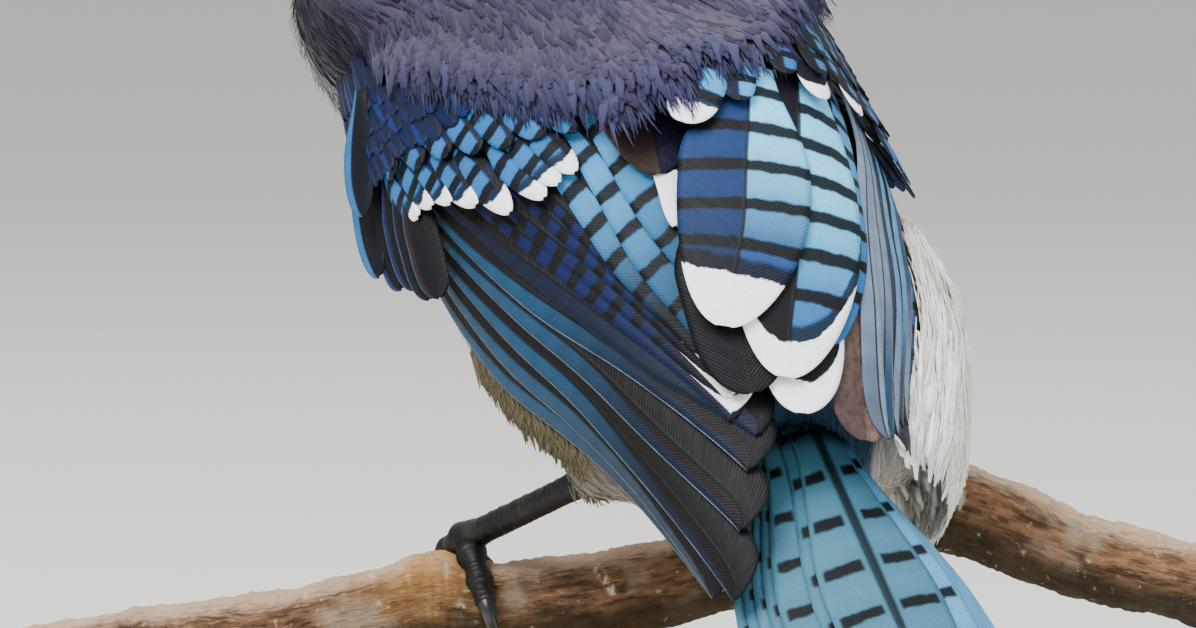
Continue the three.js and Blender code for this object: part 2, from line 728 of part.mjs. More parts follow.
addNode("torso", bodyLength(TORSO_BACK, TORSO_FRONT, 15), COLOURS.mantle);
addNode("neck", bodyLength(TORSO_FRONT + GAP, NECK_FRONT, 7), COLOURS.mantle);
addNode("head", fuse([headForm(), lidRing(1), lidRing(-1), ...crest()], [neckCut, eyeBall(1, GAP), eyeBall(-1, GAP)]), COLOURS.blue);
addNode("eye_left", toGeometry(toSolid(eyeBall(1))), COLOURS.black, 0.1);
addNode("eye_right", toGeometry(toSolid(eyeBall(-1))), COLOURS.black, 0.1);
addNode("bill_upper", fuse([billHalf(true)], [nostril(1), nostril(-1)]), COLOURS.black, 0.4);
addNode("bill_lower", billHalf(false), COLOURS.black, 0.4);
for (const [name, side] of Object.entries({ left: 1, right: -1 })) {
  addNode(`wing_${name}`, fuse(wingForm(name, side), [torsoCut, ...thighForm(FEET[name], GAP)]), COLOURS.blue);
}
addNode("tail", fuse(tailForm(), [torsoCut]), COLOURS.tail);
addNode("perch", toGeometry(toSolid(branchForm())), COLOURS.bark);
for (const [name, foot] of Object.entries(FEET)) {
  const footCut = footForm(foot, GAP);
  addNode(`thigh_${name}`, fuse(thighForm(foot), [torsoCut, ...footCut, perchCut]), COLOURS.white);
  addNode(`leg_${name}`, fuse([tarsus(foot)], [torsoCut, ...thighForm(foot, GAP), ...footCut, perchCut]), COLOURS.black);
  addNode(`foot_${name}`, fuse(footForm(foot), [perchCut]), COLOURS.black);
}
addNode("stand_base", standBase(), COLOURS.wood);
addNode("stand_rod_left", fuse([standRod(-18)], [perchCut]), COLOURS.metal, 0.35, 1);
addNode("stand_rod_right", fuse([standRod(30)], [perchCut]), COLOURS.metal, 0.35, 1);

export default model;
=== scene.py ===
"""The looks of a life-size blue jay on a cut length of branch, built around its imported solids.

Lengths inside the shape functions are millimetres, and meshes are put in as metres.
The bird faces -Y, its left side is +X, and up is +Z.
"""

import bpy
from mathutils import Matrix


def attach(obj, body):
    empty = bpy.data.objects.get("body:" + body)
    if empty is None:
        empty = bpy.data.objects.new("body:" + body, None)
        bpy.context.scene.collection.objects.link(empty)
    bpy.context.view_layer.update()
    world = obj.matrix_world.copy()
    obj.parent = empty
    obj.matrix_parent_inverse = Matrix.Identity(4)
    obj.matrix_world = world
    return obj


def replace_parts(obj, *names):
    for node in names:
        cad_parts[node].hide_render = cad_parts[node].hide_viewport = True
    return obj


bl_info = {
    "name": "Perched blue jay",
    "version": (1, 0, 0),
    "blender": (4, 5, 0),
    "location": "3D View > Sidebar > Blue jay",
    "description": "Skin, plumage, bill, feet, branch and stand of a perched blue jay",
    "category": "Object",
}

import math

import bpy
import numpy as np
from mathutils import Vector

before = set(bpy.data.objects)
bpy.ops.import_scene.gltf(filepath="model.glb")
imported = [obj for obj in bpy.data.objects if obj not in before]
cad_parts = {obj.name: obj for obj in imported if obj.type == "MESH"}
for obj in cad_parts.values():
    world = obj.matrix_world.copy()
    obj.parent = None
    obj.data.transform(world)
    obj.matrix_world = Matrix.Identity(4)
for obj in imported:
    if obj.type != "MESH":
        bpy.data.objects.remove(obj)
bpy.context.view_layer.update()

MM = 0.001
DEG = math.pi / 180

# The bird's own frame, as in its solids
BODY_PITCH = 45 * DEG
BODY_HEIGHT = 127
HEAD_CENTRE = (21, 78, -5)
HEAD_TURN = 50 * DEG
HEAD_DROP = 6 * DEG
BILL_BASE = 21
BILL_LENGTH = 25
EYE_RADIUS = 4.1

# Place along the body, sideways and dorsal shift, half width, half depth
BODY_ROWS = np.array([
    [-76, -0.5, -3, 9, 7],
    [-66, -1, -4, 14.5, 11],
    [-54, -1, -3.5, 22, 17],
    [-38, -1, -3, 28.5, 26],
    [-20, -0.5, -4.5, 33, 31.5],
    [0, 0, -6, 35.5, 35.5],
    [20, 1.5, -4, 34, 34.5],
    [36, 5.5, -4, 31, 31.5],
    [49, 13.5, -6, 30, 28],
    [60, 19, -6, 24.5, 23.5],
    [67, 20.5, -5, 18, 18],
    [76, 21, -5, 13, 13],
])

# Place along the head, rise of its middle, half width, half height
HEAD_ROWS = np.array([
    [-23, 1, 5, 5.5],
    [-19, 1, 11, 11.5],
    [-11, 0.5, 16.4, 17.2],
    [-2, 0.5, 18.2, 19],
    [6, 0.5, 16.6, 17.4],
    [12, 0, 13.2, 14],
    [17, -0.9, 9, 9.8],
    [21, -1.6, 6, 6.6],
])

# Place along the body, dorsal shift, half width, half depth of the surface under the folded wings
WING_ROWS = np.array([
    [-115, 6, 19, 10],
    [-90, 5, 21, 13],
    [-66, 3, 25.5, 18.5],
    [-45, 0, 30.5, 25],
    [-25, -4.5, 34.5, 32],
    [0, -6, 37, 36.8],
    [20, -4.5, 36.5, 35.5],
    [40, -4, 33.5, 32.5],
])


def colour(red, green, blue):
    """Linear colour from 0 to 255 display values: each is value / 255 raised to the power 2.2."""
    return tuple((channel / 255) ** 2.2 for channel in (red, green, blue))


def smooth(low, high, value):
    """0 below low, 1 above high, and 3t^2 - 2t^3 between, for arrays."""
    t = np.clip((np.asarray(value, float) - low) / (high - low), 0, 1)
    return t * t * (3 - 2 * t)


def blend(a, b, t):
    """a + (b - a) t, for arrays."""
    return a + (b - a) * t


def rows_at(rows, position):
    """Cubic Hermite curve through rows of [position, value, ...], with the slope at a row taken
    from its two neighbours. Returns the values at each position on the last axis."""
    rows = np.asarray(rows, float)
    position = np.clip(np.asarray(position, float), rows[0, 0], rows[-1, 0])
    places, values = rows[:, 0], rows[:, 1:]
    before = np.maximum(np.arange(len(rows)) - 1, 0)
    after = np.minimum(np.arange(len(rows)) + 1, len(rows) - 1)
    slopes = (values[after] - values[before]) / (places[after] - places[before])[:, None]
    i = np.clip(np.searchsorted(places, position, side="right") - 1, 0, len(rows) - 2)
    span = (places[i + 1] - places[i])[..., None]
    t = (position[..., None] - places[i][..., None]) / span
    rise = values[i + 1] - values[i]
    slope_in, slope_out = slopes[i] * span, slopes[i + 1] * span
    return (values[i] + slope_in * t + (3 * rise - 2 * slope_in - slope_out) * t**2
            + (slope_in + slope_out - 2 * rise) * t**3)


def unit(vectors):
    """Each vector over its own length."""
    return vectors / np.maximum(np.linalg.norm(vectors, axis=-1, keepdims=True), 1e-9)


def pressed(vectors, normals):
    """The vectors less their parts along the normals."""
    return vectors - normals * np.einsum("ij,ij->i", vectors, normals)[:, None]


def on_bird(x, along, dorsal):
    """Point from a place sideways, along the body towards the head, and out of the back:
    the last two are turned by the body's pitch about the X axis."""
    y = -along * math.cos(BODY_PITCH) + dorsal * math.sin(BODY_PITCH)
    z = along * math.sin(BODY_PITCH) + dorsal * math.cos(BODY_PITCH)
    return np.stack(np.broadcast_arrays(x, y, BODY_HEIGHT + z), axis=-1)


def off_bird(points):
    """The reverse of on_bird: sideways, along and dorsal places of points."""
    y, z = points[..., 1], points[..., 2] - BODY_HEIGHT
    along = z * math.sin(BODY_PITCH) - y * math.cos(BODY_PITCH)
    dorsal = z * math.cos(BODY_PITCH) + y * math.sin(BODY_PITCH)
    return points[..., 0], along, dorsal


def body_angle(points):
    """Angle of points round the body's middle from the middle of the back, positive to the left."""
    x, along, dorsal = off_bird(points)
    middle = rows_at(BODY_ROWS, along)
    return np.arctan2(x - middle[:, 0], dorsal - middle[:, 1])


BODY_AHEAD = np.array([0, -math.cos(BODY_PITCH), math.sin(BODY_PITCH)])
BODY_BACK = np.array([0, math.sin(BODY_PITCH), math.cos(BODY_PITCH)])
HEAD_AHEAD = np.array([
    math.sin(HEAD_TURN) * math.cos(HEAD_DROP),
    -math.cos(HEAD_TURN) * math.cos(HEAD_DROP),
    -math.sin(HEAD_DROP),
])
HEAD_LEFT = np.array([math.cos(HEAD_TURN), math.sin(HEAD_TURN), 0])
HEAD_UP = np.cross(HEAD_AHEAD, HEAD_LEFT)
HEAD_MIDDLE = on_bird(*HEAD_CENTRE)


def on_head(ahead, left, up):
    """Point from places ahead, to the left and up in the turned head's own axes."""
    ahead, left, up = (np.asarray(value, float)[..., None] for value in (ahead, left, up))
    return HEAD_MIDDLE + ahead * HEAD_AHEAD + left * HEAD_LEFT + up * HEAD_UP


def off_head(points):
    """The reverse of on_head."""
    away = points - HEAD_MIDDLE
    return away @ HEAD_AHEAD, away @ HEAD_LEFT, away @ HEAD_UP


# Meshes


def put_mesh(name, points, faces, material, attributes=None, uvs=None):
    """New object from points in millimetres and faces of equal count, smooth shaded, riding on the
    bird. attributes are named arrays with one number or vector for each point."""
    faces = np.asarray(faces, np.int32)
    mesh = bpy.data.meshes.new(name)
    mesh.vertices.add(len(points))
    mesh.vertices.foreach_set("co", (np.asarray(points, np.float32) * MM).ravel())
    mesh.loops.add(faces.size)
    mesh.loops.foreach_set("vertex_index", faces.ravel())
    mesh.polygons.add(len(faces))
    mesh.polygons.foreach_set("loop_start", np.arange(len(faces), dtype=np.int32) * faces.shape[1])
    mesh.update(calc_edges=True)
    mesh.polygons.foreach_set("use_smooth", np.ones(len(faces), bool))
    for key, values in (attributes or {}).items():
        values = np.asarray(values, np.float32)
        kind = "FLOAT" if values.ndim == 1 else "FLOAT_VECTOR"
        field = "value" if values.ndim == 1 else "vector"
        mesh.attributes.new(key, kind, "POINT").data.foreach_set(field, values.ravel())
    if uvs is not None:
        layer = mesh.uv_layers.new(name="OFBake")
        layer.data.foreach_set("uv", np.asarray(uvs, np.float32)[faces.ravel()].ravel())
    mesh.materials.append(material)
    piece = bpy.data.objects.new(name, mesh)
    bpy.context.scene.collection.objects.link(piece)
    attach(piece, "root")
    return piece


def tube_faces(rings, sides, count=1):
    """Quads of count closed tubes of rings by sides points, with both ends closed by quads that
    run across the ring. sides is even."""
    r, s = np.meshgrid(np.arange(rings - 1), np.arange(sides), indexing="ij")
    near, next_side = r * sides + s, r * sides + (s + 1) % sides
    body = np.stack([near, next_side, next_side + sides, near + sides], -1).reshape(-1, 4)
    j = np.arange(sides // 2 - 1)
    cap = np.stack([j, j + 1, sides - 2 - j, sides - 1 - j], -1)
    last = (rings - 1) * sides
    one = np.concatenate([body, cap[:, ::-1], cap + last])
    shift = np.arange(count)[:, None, None] * rings * sides
    return (one[None] + shift).reshape(-1, 4)


def outward(points, faces):
    """The faces, turned round when the volume that they close comes out negative."""
    a, b, c = (points[faces[:, k]] for k in range(3))
    d = points[faces[:, 3]]
    volume = np.einsum("ij,ij->", a, np.cross(b, c)) + np.einsum("ij,ij->", a, np.cross(c, d))
    return faces if volume > 0 else faces[:, ::-1]


def tubes(rings):
    """Points and faces of closed tubes from an array of tubes by rings by sides by 3."""
    rings = np.asarray(rings, float)
    if rings.ndim == 3:
        rings = rings[None]
    count, length, sides, _ = rings.shape
    points = rings.reshape(-1, 3)
    return points, outward(points, tube_faces(length, sides, count))


def put_tubes(name, rings, material, attributes=None):
    """New object from closed tubes, as put_mesh makes it."""
    return put_mesh(name, *tubes(rings), material, attributes)


def shells(surface, thickness):
    """Thin closed shells: surface is shells by rings by places across by 3, and the lower face lies
    thickness under the upper one along the grid's normal, which thins to the edges."""
    along = np.gradient(surface, axis=1)
    across = np.gradient(surface, axis=2)
    normal = unit(np.cross(along, across))
    u = np.linspace(-1, 1, surface.shape[2])
    depth = thickness * (1 - 0.6 * u**2)
    under = surface - normal * np.broadcast_to(depth[:, None], surface.shape)
    return np.concatenate([surface, under[:, :, ::-1]], axis=2)


def fields(values):
    """Doubles an array of shells by rings by places for the lower face, and flattens it."""
    both = np.concatenate([values, values[:, :, ::-1]], axis=2)
    return both.reshape(-1, *values.shape[3:])


def ring_points(centre, sideways, upwards, half_width, half_height, sides):
    """Ellipses round centres: centre + sideways a cos t + upwards b sin t."""
    turn = np.linspace(0, 2 * math.pi, sides, endpoint=False)
    half_width = np.asarray(half_width, float)[..., None, None]
    half_height = np.asarray(half_height, float)[..., None, None]
    return (np.asarray(centre)[..., None, :] + sideways[..., None, :] * half_width * np.cos(turn)[:, None]
            + upwards[..., None, :] * half_height * np.sin(turn)[:, None])


# A direction that no limb runs in
LIMB_HINT = (0.31, 0.2, 0.93)


def limb(path, radii, sides):
    """A round limb: rings of the given radii square to a path of points."""
    tangent = unit(np.gradient(path, axis=0))
    sideways = unit(np.cross(np.broadcast_to(LIMB_HINT, path.shape), tangent))
    return ring_points(path, sideways, np.cross(tangent, sideways), radii, radii, sides)


def smooth_path(points, count):
    """A curve of count points through a few: Hermite rows over their running number."""
    points = np.asarray(points, float)
    rows = np.column_stack([np.arange(len(points)), points])
    return rows_at(rows, np.linspace(0, len(points) - 1, count))


# Shader maths

class Value:
    """A socket of one number that can be added, taken away, multiplied and divided."""

    def __init__(self, shader, socket):
        self.shader = shader
        self.socket = socket

    def maths(self, operation, a, b=0.0):
        return self.shader.maths(operation, a, b)

    def __add__(self, other):
        return self.maths("ADD", self, other)

    __radd__ = __add__

    def __sub__(self, other):
        return self.maths("SUBTRACT", self, other)

    def __rsub__(self, other):
        return self.maths("SUBTRACT", other, self)

    def __mul__(self, other):
        return self.maths("MULTIPLY", self, other)

    __rmul__ = __mul__

    def __truediv__(self, other):
        return self.maths("DIVIDE", self, other)


class Shader:
    """A material's node tree with one Principled shader, and one method that adds any other node."""

    def __init__(self, name, **constants):
        self.material = bpy.data.materials.new(name)
        self.material.use_nodes = True
        self.tree = self.material.node_tree
        self.surface = self.tree.nodes["Principled BSDF"]
        for socket, value in constants.items():
            self.surface.inputs[socket.replace("_", " ")].default_value = value

    def node(self, kind, settings=None, inputs=None, output=0):
        node = self.tree.nodes.new(kind)
        for key, value in (settings or {}).items():
            setattr(node, key, value)
        for key, value in (inputs or {}).items():
            self.feed(node.inputs[key], value)
        return Value(self, node.outputs[output])

    def feed(self, socket, value):
        if isinstance(value, Value):
            self.tree.links.new(value.socket, socket)
        elif socket.type == "RGBA" and len(value) == 3:
            socket.default_value = (*value, 1)
        else:
            socket.default_value = value

    def maths(self, operation, a, b=0.0):
        return self.node("ShaderNodeMath", {"operation": operation}, {0: a, 1: b})

    def step(self, value, low, high):
        """Smooth step: 0 at low, 1 at high. A high below low turns it round."""
        if high < low:
            return 1 - self.step(value, high, low)
        settings = {"interpolation_type": "SMOOTHSTEP"}
        return self.node("ShaderNodeMapRange", settings,
                         {"Value": value, "From Min": low, "From Max": high})

    def mix(self, factor, a, b, blend_type="MIX"):
        settings = {"data_type": "RGBA", "blend_type": blend_type}
        return self.node("ShaderNodeMix", settings, {"Factor": factor, 6: a, 7: b}, output=2)

    def place(self):
        return self.node("ShaderNodeTexCoord", output="Object")

    def attribute(self, name):
        """The vector of a named attribute, and its three parts."""
        vector = self.node("ShaderNodeAttribute", {"attribute_name": name}, output="Vector")
        return vector, *self.parts(vector)

    def parts(self, vector):
        node = self.tree.nodes.new("ShaderNodeSeparateXYZ")
        self.feed(node.inputs[0], vector)
        return tuple(Value(self, node.outputs[k]) for k in range(3))

    def join(self, x, y, z):
        """A vector from three numbers."""
        return self.node("ShaderNodeCombineXYZ", None, {0: x, 1: y, 2: z})

    def shaded(self, base, light):
        """A colour multiplied by one number."""
        return self.mix(1.0, base, self.join(light, light, light), "MULTIPLY")

    def scaled(self, vector, scale):
        return self.node("ShaderNodeMapping", None, {"Vector": vector, "Scale": scale})

    def noise(self, vector, scale, detail=2.0, roughness=0.5):
        inputs = {"Vector": vector, "Scale": scale, "Detail": detail, "Roughness": roughness}
        return self.node("ShaderNodeTexNoise", None, inputs)

    def bump(self, height, strength, distance):
        inputs = {"Height": height, "Strength": strength, "Distance": distance}
        self.feed(self.surface.inputs["Normal"], self.node("ShaderNodeBump", None, inputs))

    def finish(self, base, roughness=None):
        self.feed(self.surface.inputs["Base Color"], base)
        if roughness is not None:
            self.feed(self.surface.inputs["Roughness"], roughness)
        return self.material


# Finishes

def plumage_finish():
    """Soft feathers: the tint attribute, streaked along each tuft and mottled by noise."""
    s = Shader("body_plumage", Roughness=0.85, Sheen_Weight=0.08, Sheen_Roughness=0.5,
               Specular_IOR_Level=0.15)
    tint, *_ = s.attribute("tint")
    _, across, along, seed = s.attribute("vane")
    mottle = s.noise(s.place(), 260.0, 3.0)
    streak = s.noise(s.join(across * 5.0 + seed * 37.0, along * 0.12, seed * 11.0), 1.0, 2.0)
    shade = 0.84 + 0.14 * mottle + 0.2 * streak + 0.3 * (seed - 0.5)
    barbs = s.maths("SINE", (along + s.maths("ABSOLUTE", across) * -1.1) * 9.0)
    s.bump(streak * 0.6 + barbs * 0.12, 0.5, 0.0004)
    return s.finish(s.shaded(tint, shade), 0.7 + 0.2 * mottle)


def skin_finish():
    """The skin under the coat: the same tint, darkened, with a fine downy bump."""
    s = Shader("skin", Roughness=0.9)
    tint, *_ = s.attribute("tint")
    down = s.noise(s.place(), 900.0, 3.0)
    s.bump(down, 0.5, 0.0005)
    return s.finish(s.shaded(tint, 0.45 + 0.3 * down))


def plume_finish(name, rim=None, rim_from=0.9, dash=0.0, line=0.28, mottle=0.0, band=2.2, narrow=0.0,
                 fade=(8.0, 33.0)):
    """A stiff feather. Its attributes give, for each point, vane: place across from -1 inner to 1
    outer, millimetres from the tip, seed; trait: length of the white tip, how far the white follows
    the rounded edge, shade; local: millimetres from the shaft and from the tip's edge; bars: spacing,
    dark share and first bar; outer, far and inner: colours of the outer web near the tip and towards
    the root, and of the inner web. The third value of local slants the bars. dash keeps the bars that
    far off the shaft, band is the width of the dark band behind a white tip, narrow is how much
    narrower the outer web gets at the tip, and fade is where its colour turns, from the tip."""
    s = Shader(name, Roughness=0.55, Specular_IOR_Level=0.2)
    _, across, along, seed = s.attribute("vane")
    _, tip, follow, shade = s.attribute("trait")
    _, off, from_edge, slant = s.attribute("local")
    _, spacing, share, first = s.attribute("bars")
    outer, far, inner = (s.attribute(key)[0] for key in ("outer", "far", "inner"))
    side = s.maths("ABSOLUTE", off)
    wave = s.noise(s.join(off * 0.45, along * 0.3, seed * 29.0), 1.0, 2.0)
    fine = s.noise(s.join(off * 0.35, (along - side) * 2.2, seed * 17.0), 1.0, 2.0)
    web = s.mix(s.step(along, *fade), outer, far)
    border = off - narrow * (1 - s.step(along, 6.0, 60.0)) + (wave - 0.5) * 0.5
    base = s.mix(s.step(border, -0.25, 0.25), inner, web)
    dusk = (1 - s.step(along, 4.0, 34.0)) * (1 - s.step(off, -0.2, 0.2))
    base = s.mix(dusk * 0.6, base, colour(5, 8, 22))
    if mottle:
        blots = s.noise(s.join(off * 0.9, along * 0.6, seed * 11.0), 1.0, 4.0, 0.7)
        base = s.mix(s.step(blots, 0.42, 0.62) * mottle, base, colour(46, 34, 31))
    phase = (along + off * slant + (wave - 0.5) * 1.1 - first) / spacing + 0.5
    cycle = s.maths("ABSOLUTE", s.maths("FRACT", phase) - 0.5)
    bar = (1 - s.step(cycle - share * 0.5, -0.04, 0.04)) * s.step(phase, 0.1, 0.2)
    if dash:
        clear = s.step(side, dash, dash + 0.7) * s.step(s.maths("ABSOLUTE", across), 0.94, 0.86)
        bar = bar * clear
    light = (0.8 + 0.3 * cycle) * (0.84 + 0.22 * fine + 0.12 * wave) * shade
    base = s.shaded(base, light)
    base = s.mix(bar * 0.98, base, colour(2, 3, 6))
    if line:
        base = s.mix((1 - s.step(side, line * 0.5, line * 1.5)) * 0.9, base, colour(6, 7, 12))
    if rim is not None:
        base = s.mix(s.step(across + (wave - 0.5) * 0.04, rim_from, rim_from + 0.07), base, rim)
    reach = along * (1 - follow) + from_edge * follow + (wave - 0.5) * 1.9 + (fine - 0.5) * 0.7
    if band:
        behind = (1 - s.step(reach - tip, band, band + 1.2)) * s.step(tip, 0.0, 0.4)
        base = s.mix(behind * 0.9, base, colour(5, 6, 13))
    white = 1 - s.step(reach - tip, -0.22, 0.22)
    base = s.mix(white, base, s.mix(fine, colour(226, 229, 233), colour(255, 255, 255)))
    barbs = s.maths("SINE", (along - side * 0.9) * 9.5)
    ridge = s.step(side, 0.5, 0.0)
    s.bump(barbs * 0.2 + fine * 0.5 + ridge * 0.8, 0.4, 0.0003)
    return s.finish(base, 0.45 + 0.3 * fine)


def horn_finish():
    """Black horn of the bill and claws, a little worn: mottled paler by noise."""
    s = Shader("black_horn", Roughness=0.32, Coat_Weight=0.15)
    grain = s.noise(s.scaled(s.place(), (300, 300, 900)), 1.0, 3.0)
    s.bump(grain, 0.25, 0.0003)
    return s.finish(s.mix(grain, colour(16, 15, 18), colour(46, 44, 50)), 0.24 + 0.25 * grain)


def leg_finish():
    """Nearly black scaly skin with patches of paler dust."""
    s = Shader("leg_scales", Roughness=0.6, Specular_IOR_Level=0.3)
    grain = s.noise(s.place(), 700.0, 4.0)
    dust = s.step(s.noise(s.place(), 260.0, 2.0), 0.5, 0.75)
    base = s.mix(grain, colour(3, 3, 3), colour(20, 18, 16))
    base = s.mix(dust * 0.2, base, colour(84, 78, 66))
    s.bump(grain, 0.6, 0.0004)
    return s.finish(base, 0.4 + 0.3 * grain)


def eye_finish():
    """Glossy, almost black dark-brown eye, clouded a little by noise."""
    s = Shader("dark_eye", Roughness=0.05, Coat_Weight=1.0, Coat_Roughness=0.02)
    clouds = s.noise(s.place(), 500.0, 2.0)
    return s.finish(s.mix(clouds, colour(14, 9, 8), colour(40, 24, 16)))


def bark_finish():
    """Weathered reddish-brown bark: long flakes and cracks along the branch, grey bloom and pale
    chips on top, painted shade that turns the underside a greenish dark, a pale pinkish band of
    painted light along the top, an ochre patch round the knot."""
    s = Shader("bark", Roughness=0.85, Specular_IOR_Level=0.25)
    _, length, turn, high = s.attribute("grain")
    _, knot, chip, _ = s.attribute("marks")
    flakes = s.noise(s.join(length * 0.1, turn * 2.6, high * 0.4), 1.5, 6.0, 0.62)
    fibres = s.noise(s.join(length * 0.25, turn * 9.0, high), 1.3, 5.0, 0.6)
    speckle = s.noise(s.place(), 620.0, 4.0, 0.6)
    blotch = s.noise(s.place(), 95.0, 3.0, 0.55)
    base = s.mix(s.step(flakes, 0.35, 0.66), colour(60, 43, 30), colour(126, 94, 68))
    base = s.mix(s.step(fibres, 0.55, 0.72) * 0.6, base, colour(158, 126, 98))
    base = s.mix(s.step(fibres, 0.42, 0.3) * 0.8, base, colour(27, 20, 14))
    base = s.mix(s.step(blotch, 0.52, 0.7) * 0.5, base, colour(150, 140, 122))
    # Painted shade: the underside, where the grain's third value is low, darkened to a greenish dark
    base = s.mix(s.step(high + (blotch - 0.5) * 0.8, 0.15, -0.5) * 0.85, base, colour(42, 38, 22))
    # Painted light: a pale pinkish band along the top of the branch
    base = s.mix(s.step(high + (fibres - 0.5) * 0.6, 0.6, 0.95) * 0.6, base, colour(204, 172, 146))
    base = s.mix(knot * s.step(blotch, 0.3, 0.6) * 0.8, base, colour(176, 128, 62))
    base = s.mix(chip * s.step(speckle, 0.4, 0.6) * 0.8, base, colour(212, 200, 182))
    base = s.mix(s.step(speckle, 0.62, 0.74) * 0.4, base, colour(205, 190, 170))
    s.bump(flakes * 0.9 + fibres * 0.8 + speckle * 0.3, 0.9, 0.0012)
    return s.finish(base, 0.7 + 0.25 * speckle)


def cut_wood_finish():
    """Sawn end of the branch: rings round the pith and a few drying cracks."""
    s = Shader("cut_wood", Roughness=0.8)
    _, out, turn, _ = s.attribute("grain")
    rings = s.maths("SINE", out * 11.0 + s.noise(s.place(), 300.0) * 3.0)
    rays = s.noise(s.join(turn * 8.0, out * 0.2, 0.0), 1.5, 3.0)
    base = s.mix(0.5 + 0.5 * rings, colour(176, 142, 100), colour(206, 176, 132))
    base = s.mix(s.step(rays, 0.62, 0.7) * 0.6, base, colour(92, 66, 44))
    s.bump(rings * 0.3 + rays, 0.4, 0.0004)
    return s.finish(base)


def stand_wood_finish():
    """Satin beech of the base: straight grain, small flecks and a soft lacquer."""
    s = Shader("stand_beech", Roughness=0.42, Coat_Weight=0.25, Coat_Roughness=0.25)
    place = s.scaled(s.place(), (14, 160, 160))
    grain = s.noise(place, 1.0, 5.0, 0.6)
    band = s.noise(s.scaled(s.place(), (5, 48, 48)), 1.0, 2.0)
    fleck = s.noise(s.scaled(s.place(), (180, 900, 900)), 1.0, 2.0)
    base = s.mix(grain, colour(150, 108, 72), colour(196, 156, 112))
    base = s.mix(s.step(band, 0.4, 0.65) * 0.4, base, colour(168, 122, 80))
    base = s.mix(s.step(fleck, 0.6, 0.72) * 0.5, base, colour(112, 76, 48))
    s.bump(grain + fleck * 0.4, 0.15, 0.0003)
    return s.finish(base, 0.36 + 0.2 * grain)


def metal_finish():
    """Brushed grey steel of the rods."""
    s = Shader("brushed_steel", Metallic=1.0, Roughness=0.35)
    brush = s.noise(s.scaled(s.place(), (900, 900, 30)), 1.0, 3.0)
    s.bump(brush, 0.1, 0.0001)
    return s.finish(s.mix(brush, colour(120, 122, 126), colour(172, 174, 178)), 0.28 + 0.2 * brush)


# Markings of skin and coat

MARKS = {
    "mantle": colour(56, 53, 72),
    "mantle_low": colour(48, 52, 88),
    # Painted shade: a dark grey laid over the neck and the sides of the shoulders
    "mantle_painted_shade": colour(30, 30, 42),
    "rump": colour(52, 90, 118),
    "crown": colour(72, 92, 158),
    "face": colour(206, 208, 214),
    "throat": colour(212, 213, 216),
    "black": colour(20, 20, 26),
    "breast": colour(158, 154, 158),
    "belly": colour(226, 222, 214),
    "white": colour(252, 250, 244),
    # The left flank fringe's brownish grey, darkened to olive as painted shade
    "fringe_painted_shade": colour(96, 88, 66),
}


def mark(base, name, amount):
    """Blends a named marking over colours by an amount from 0 to 1 for each point."""
    return blend(base, np.array(MARKS[name]), np.clip(amount, 0, 1)[..., None])


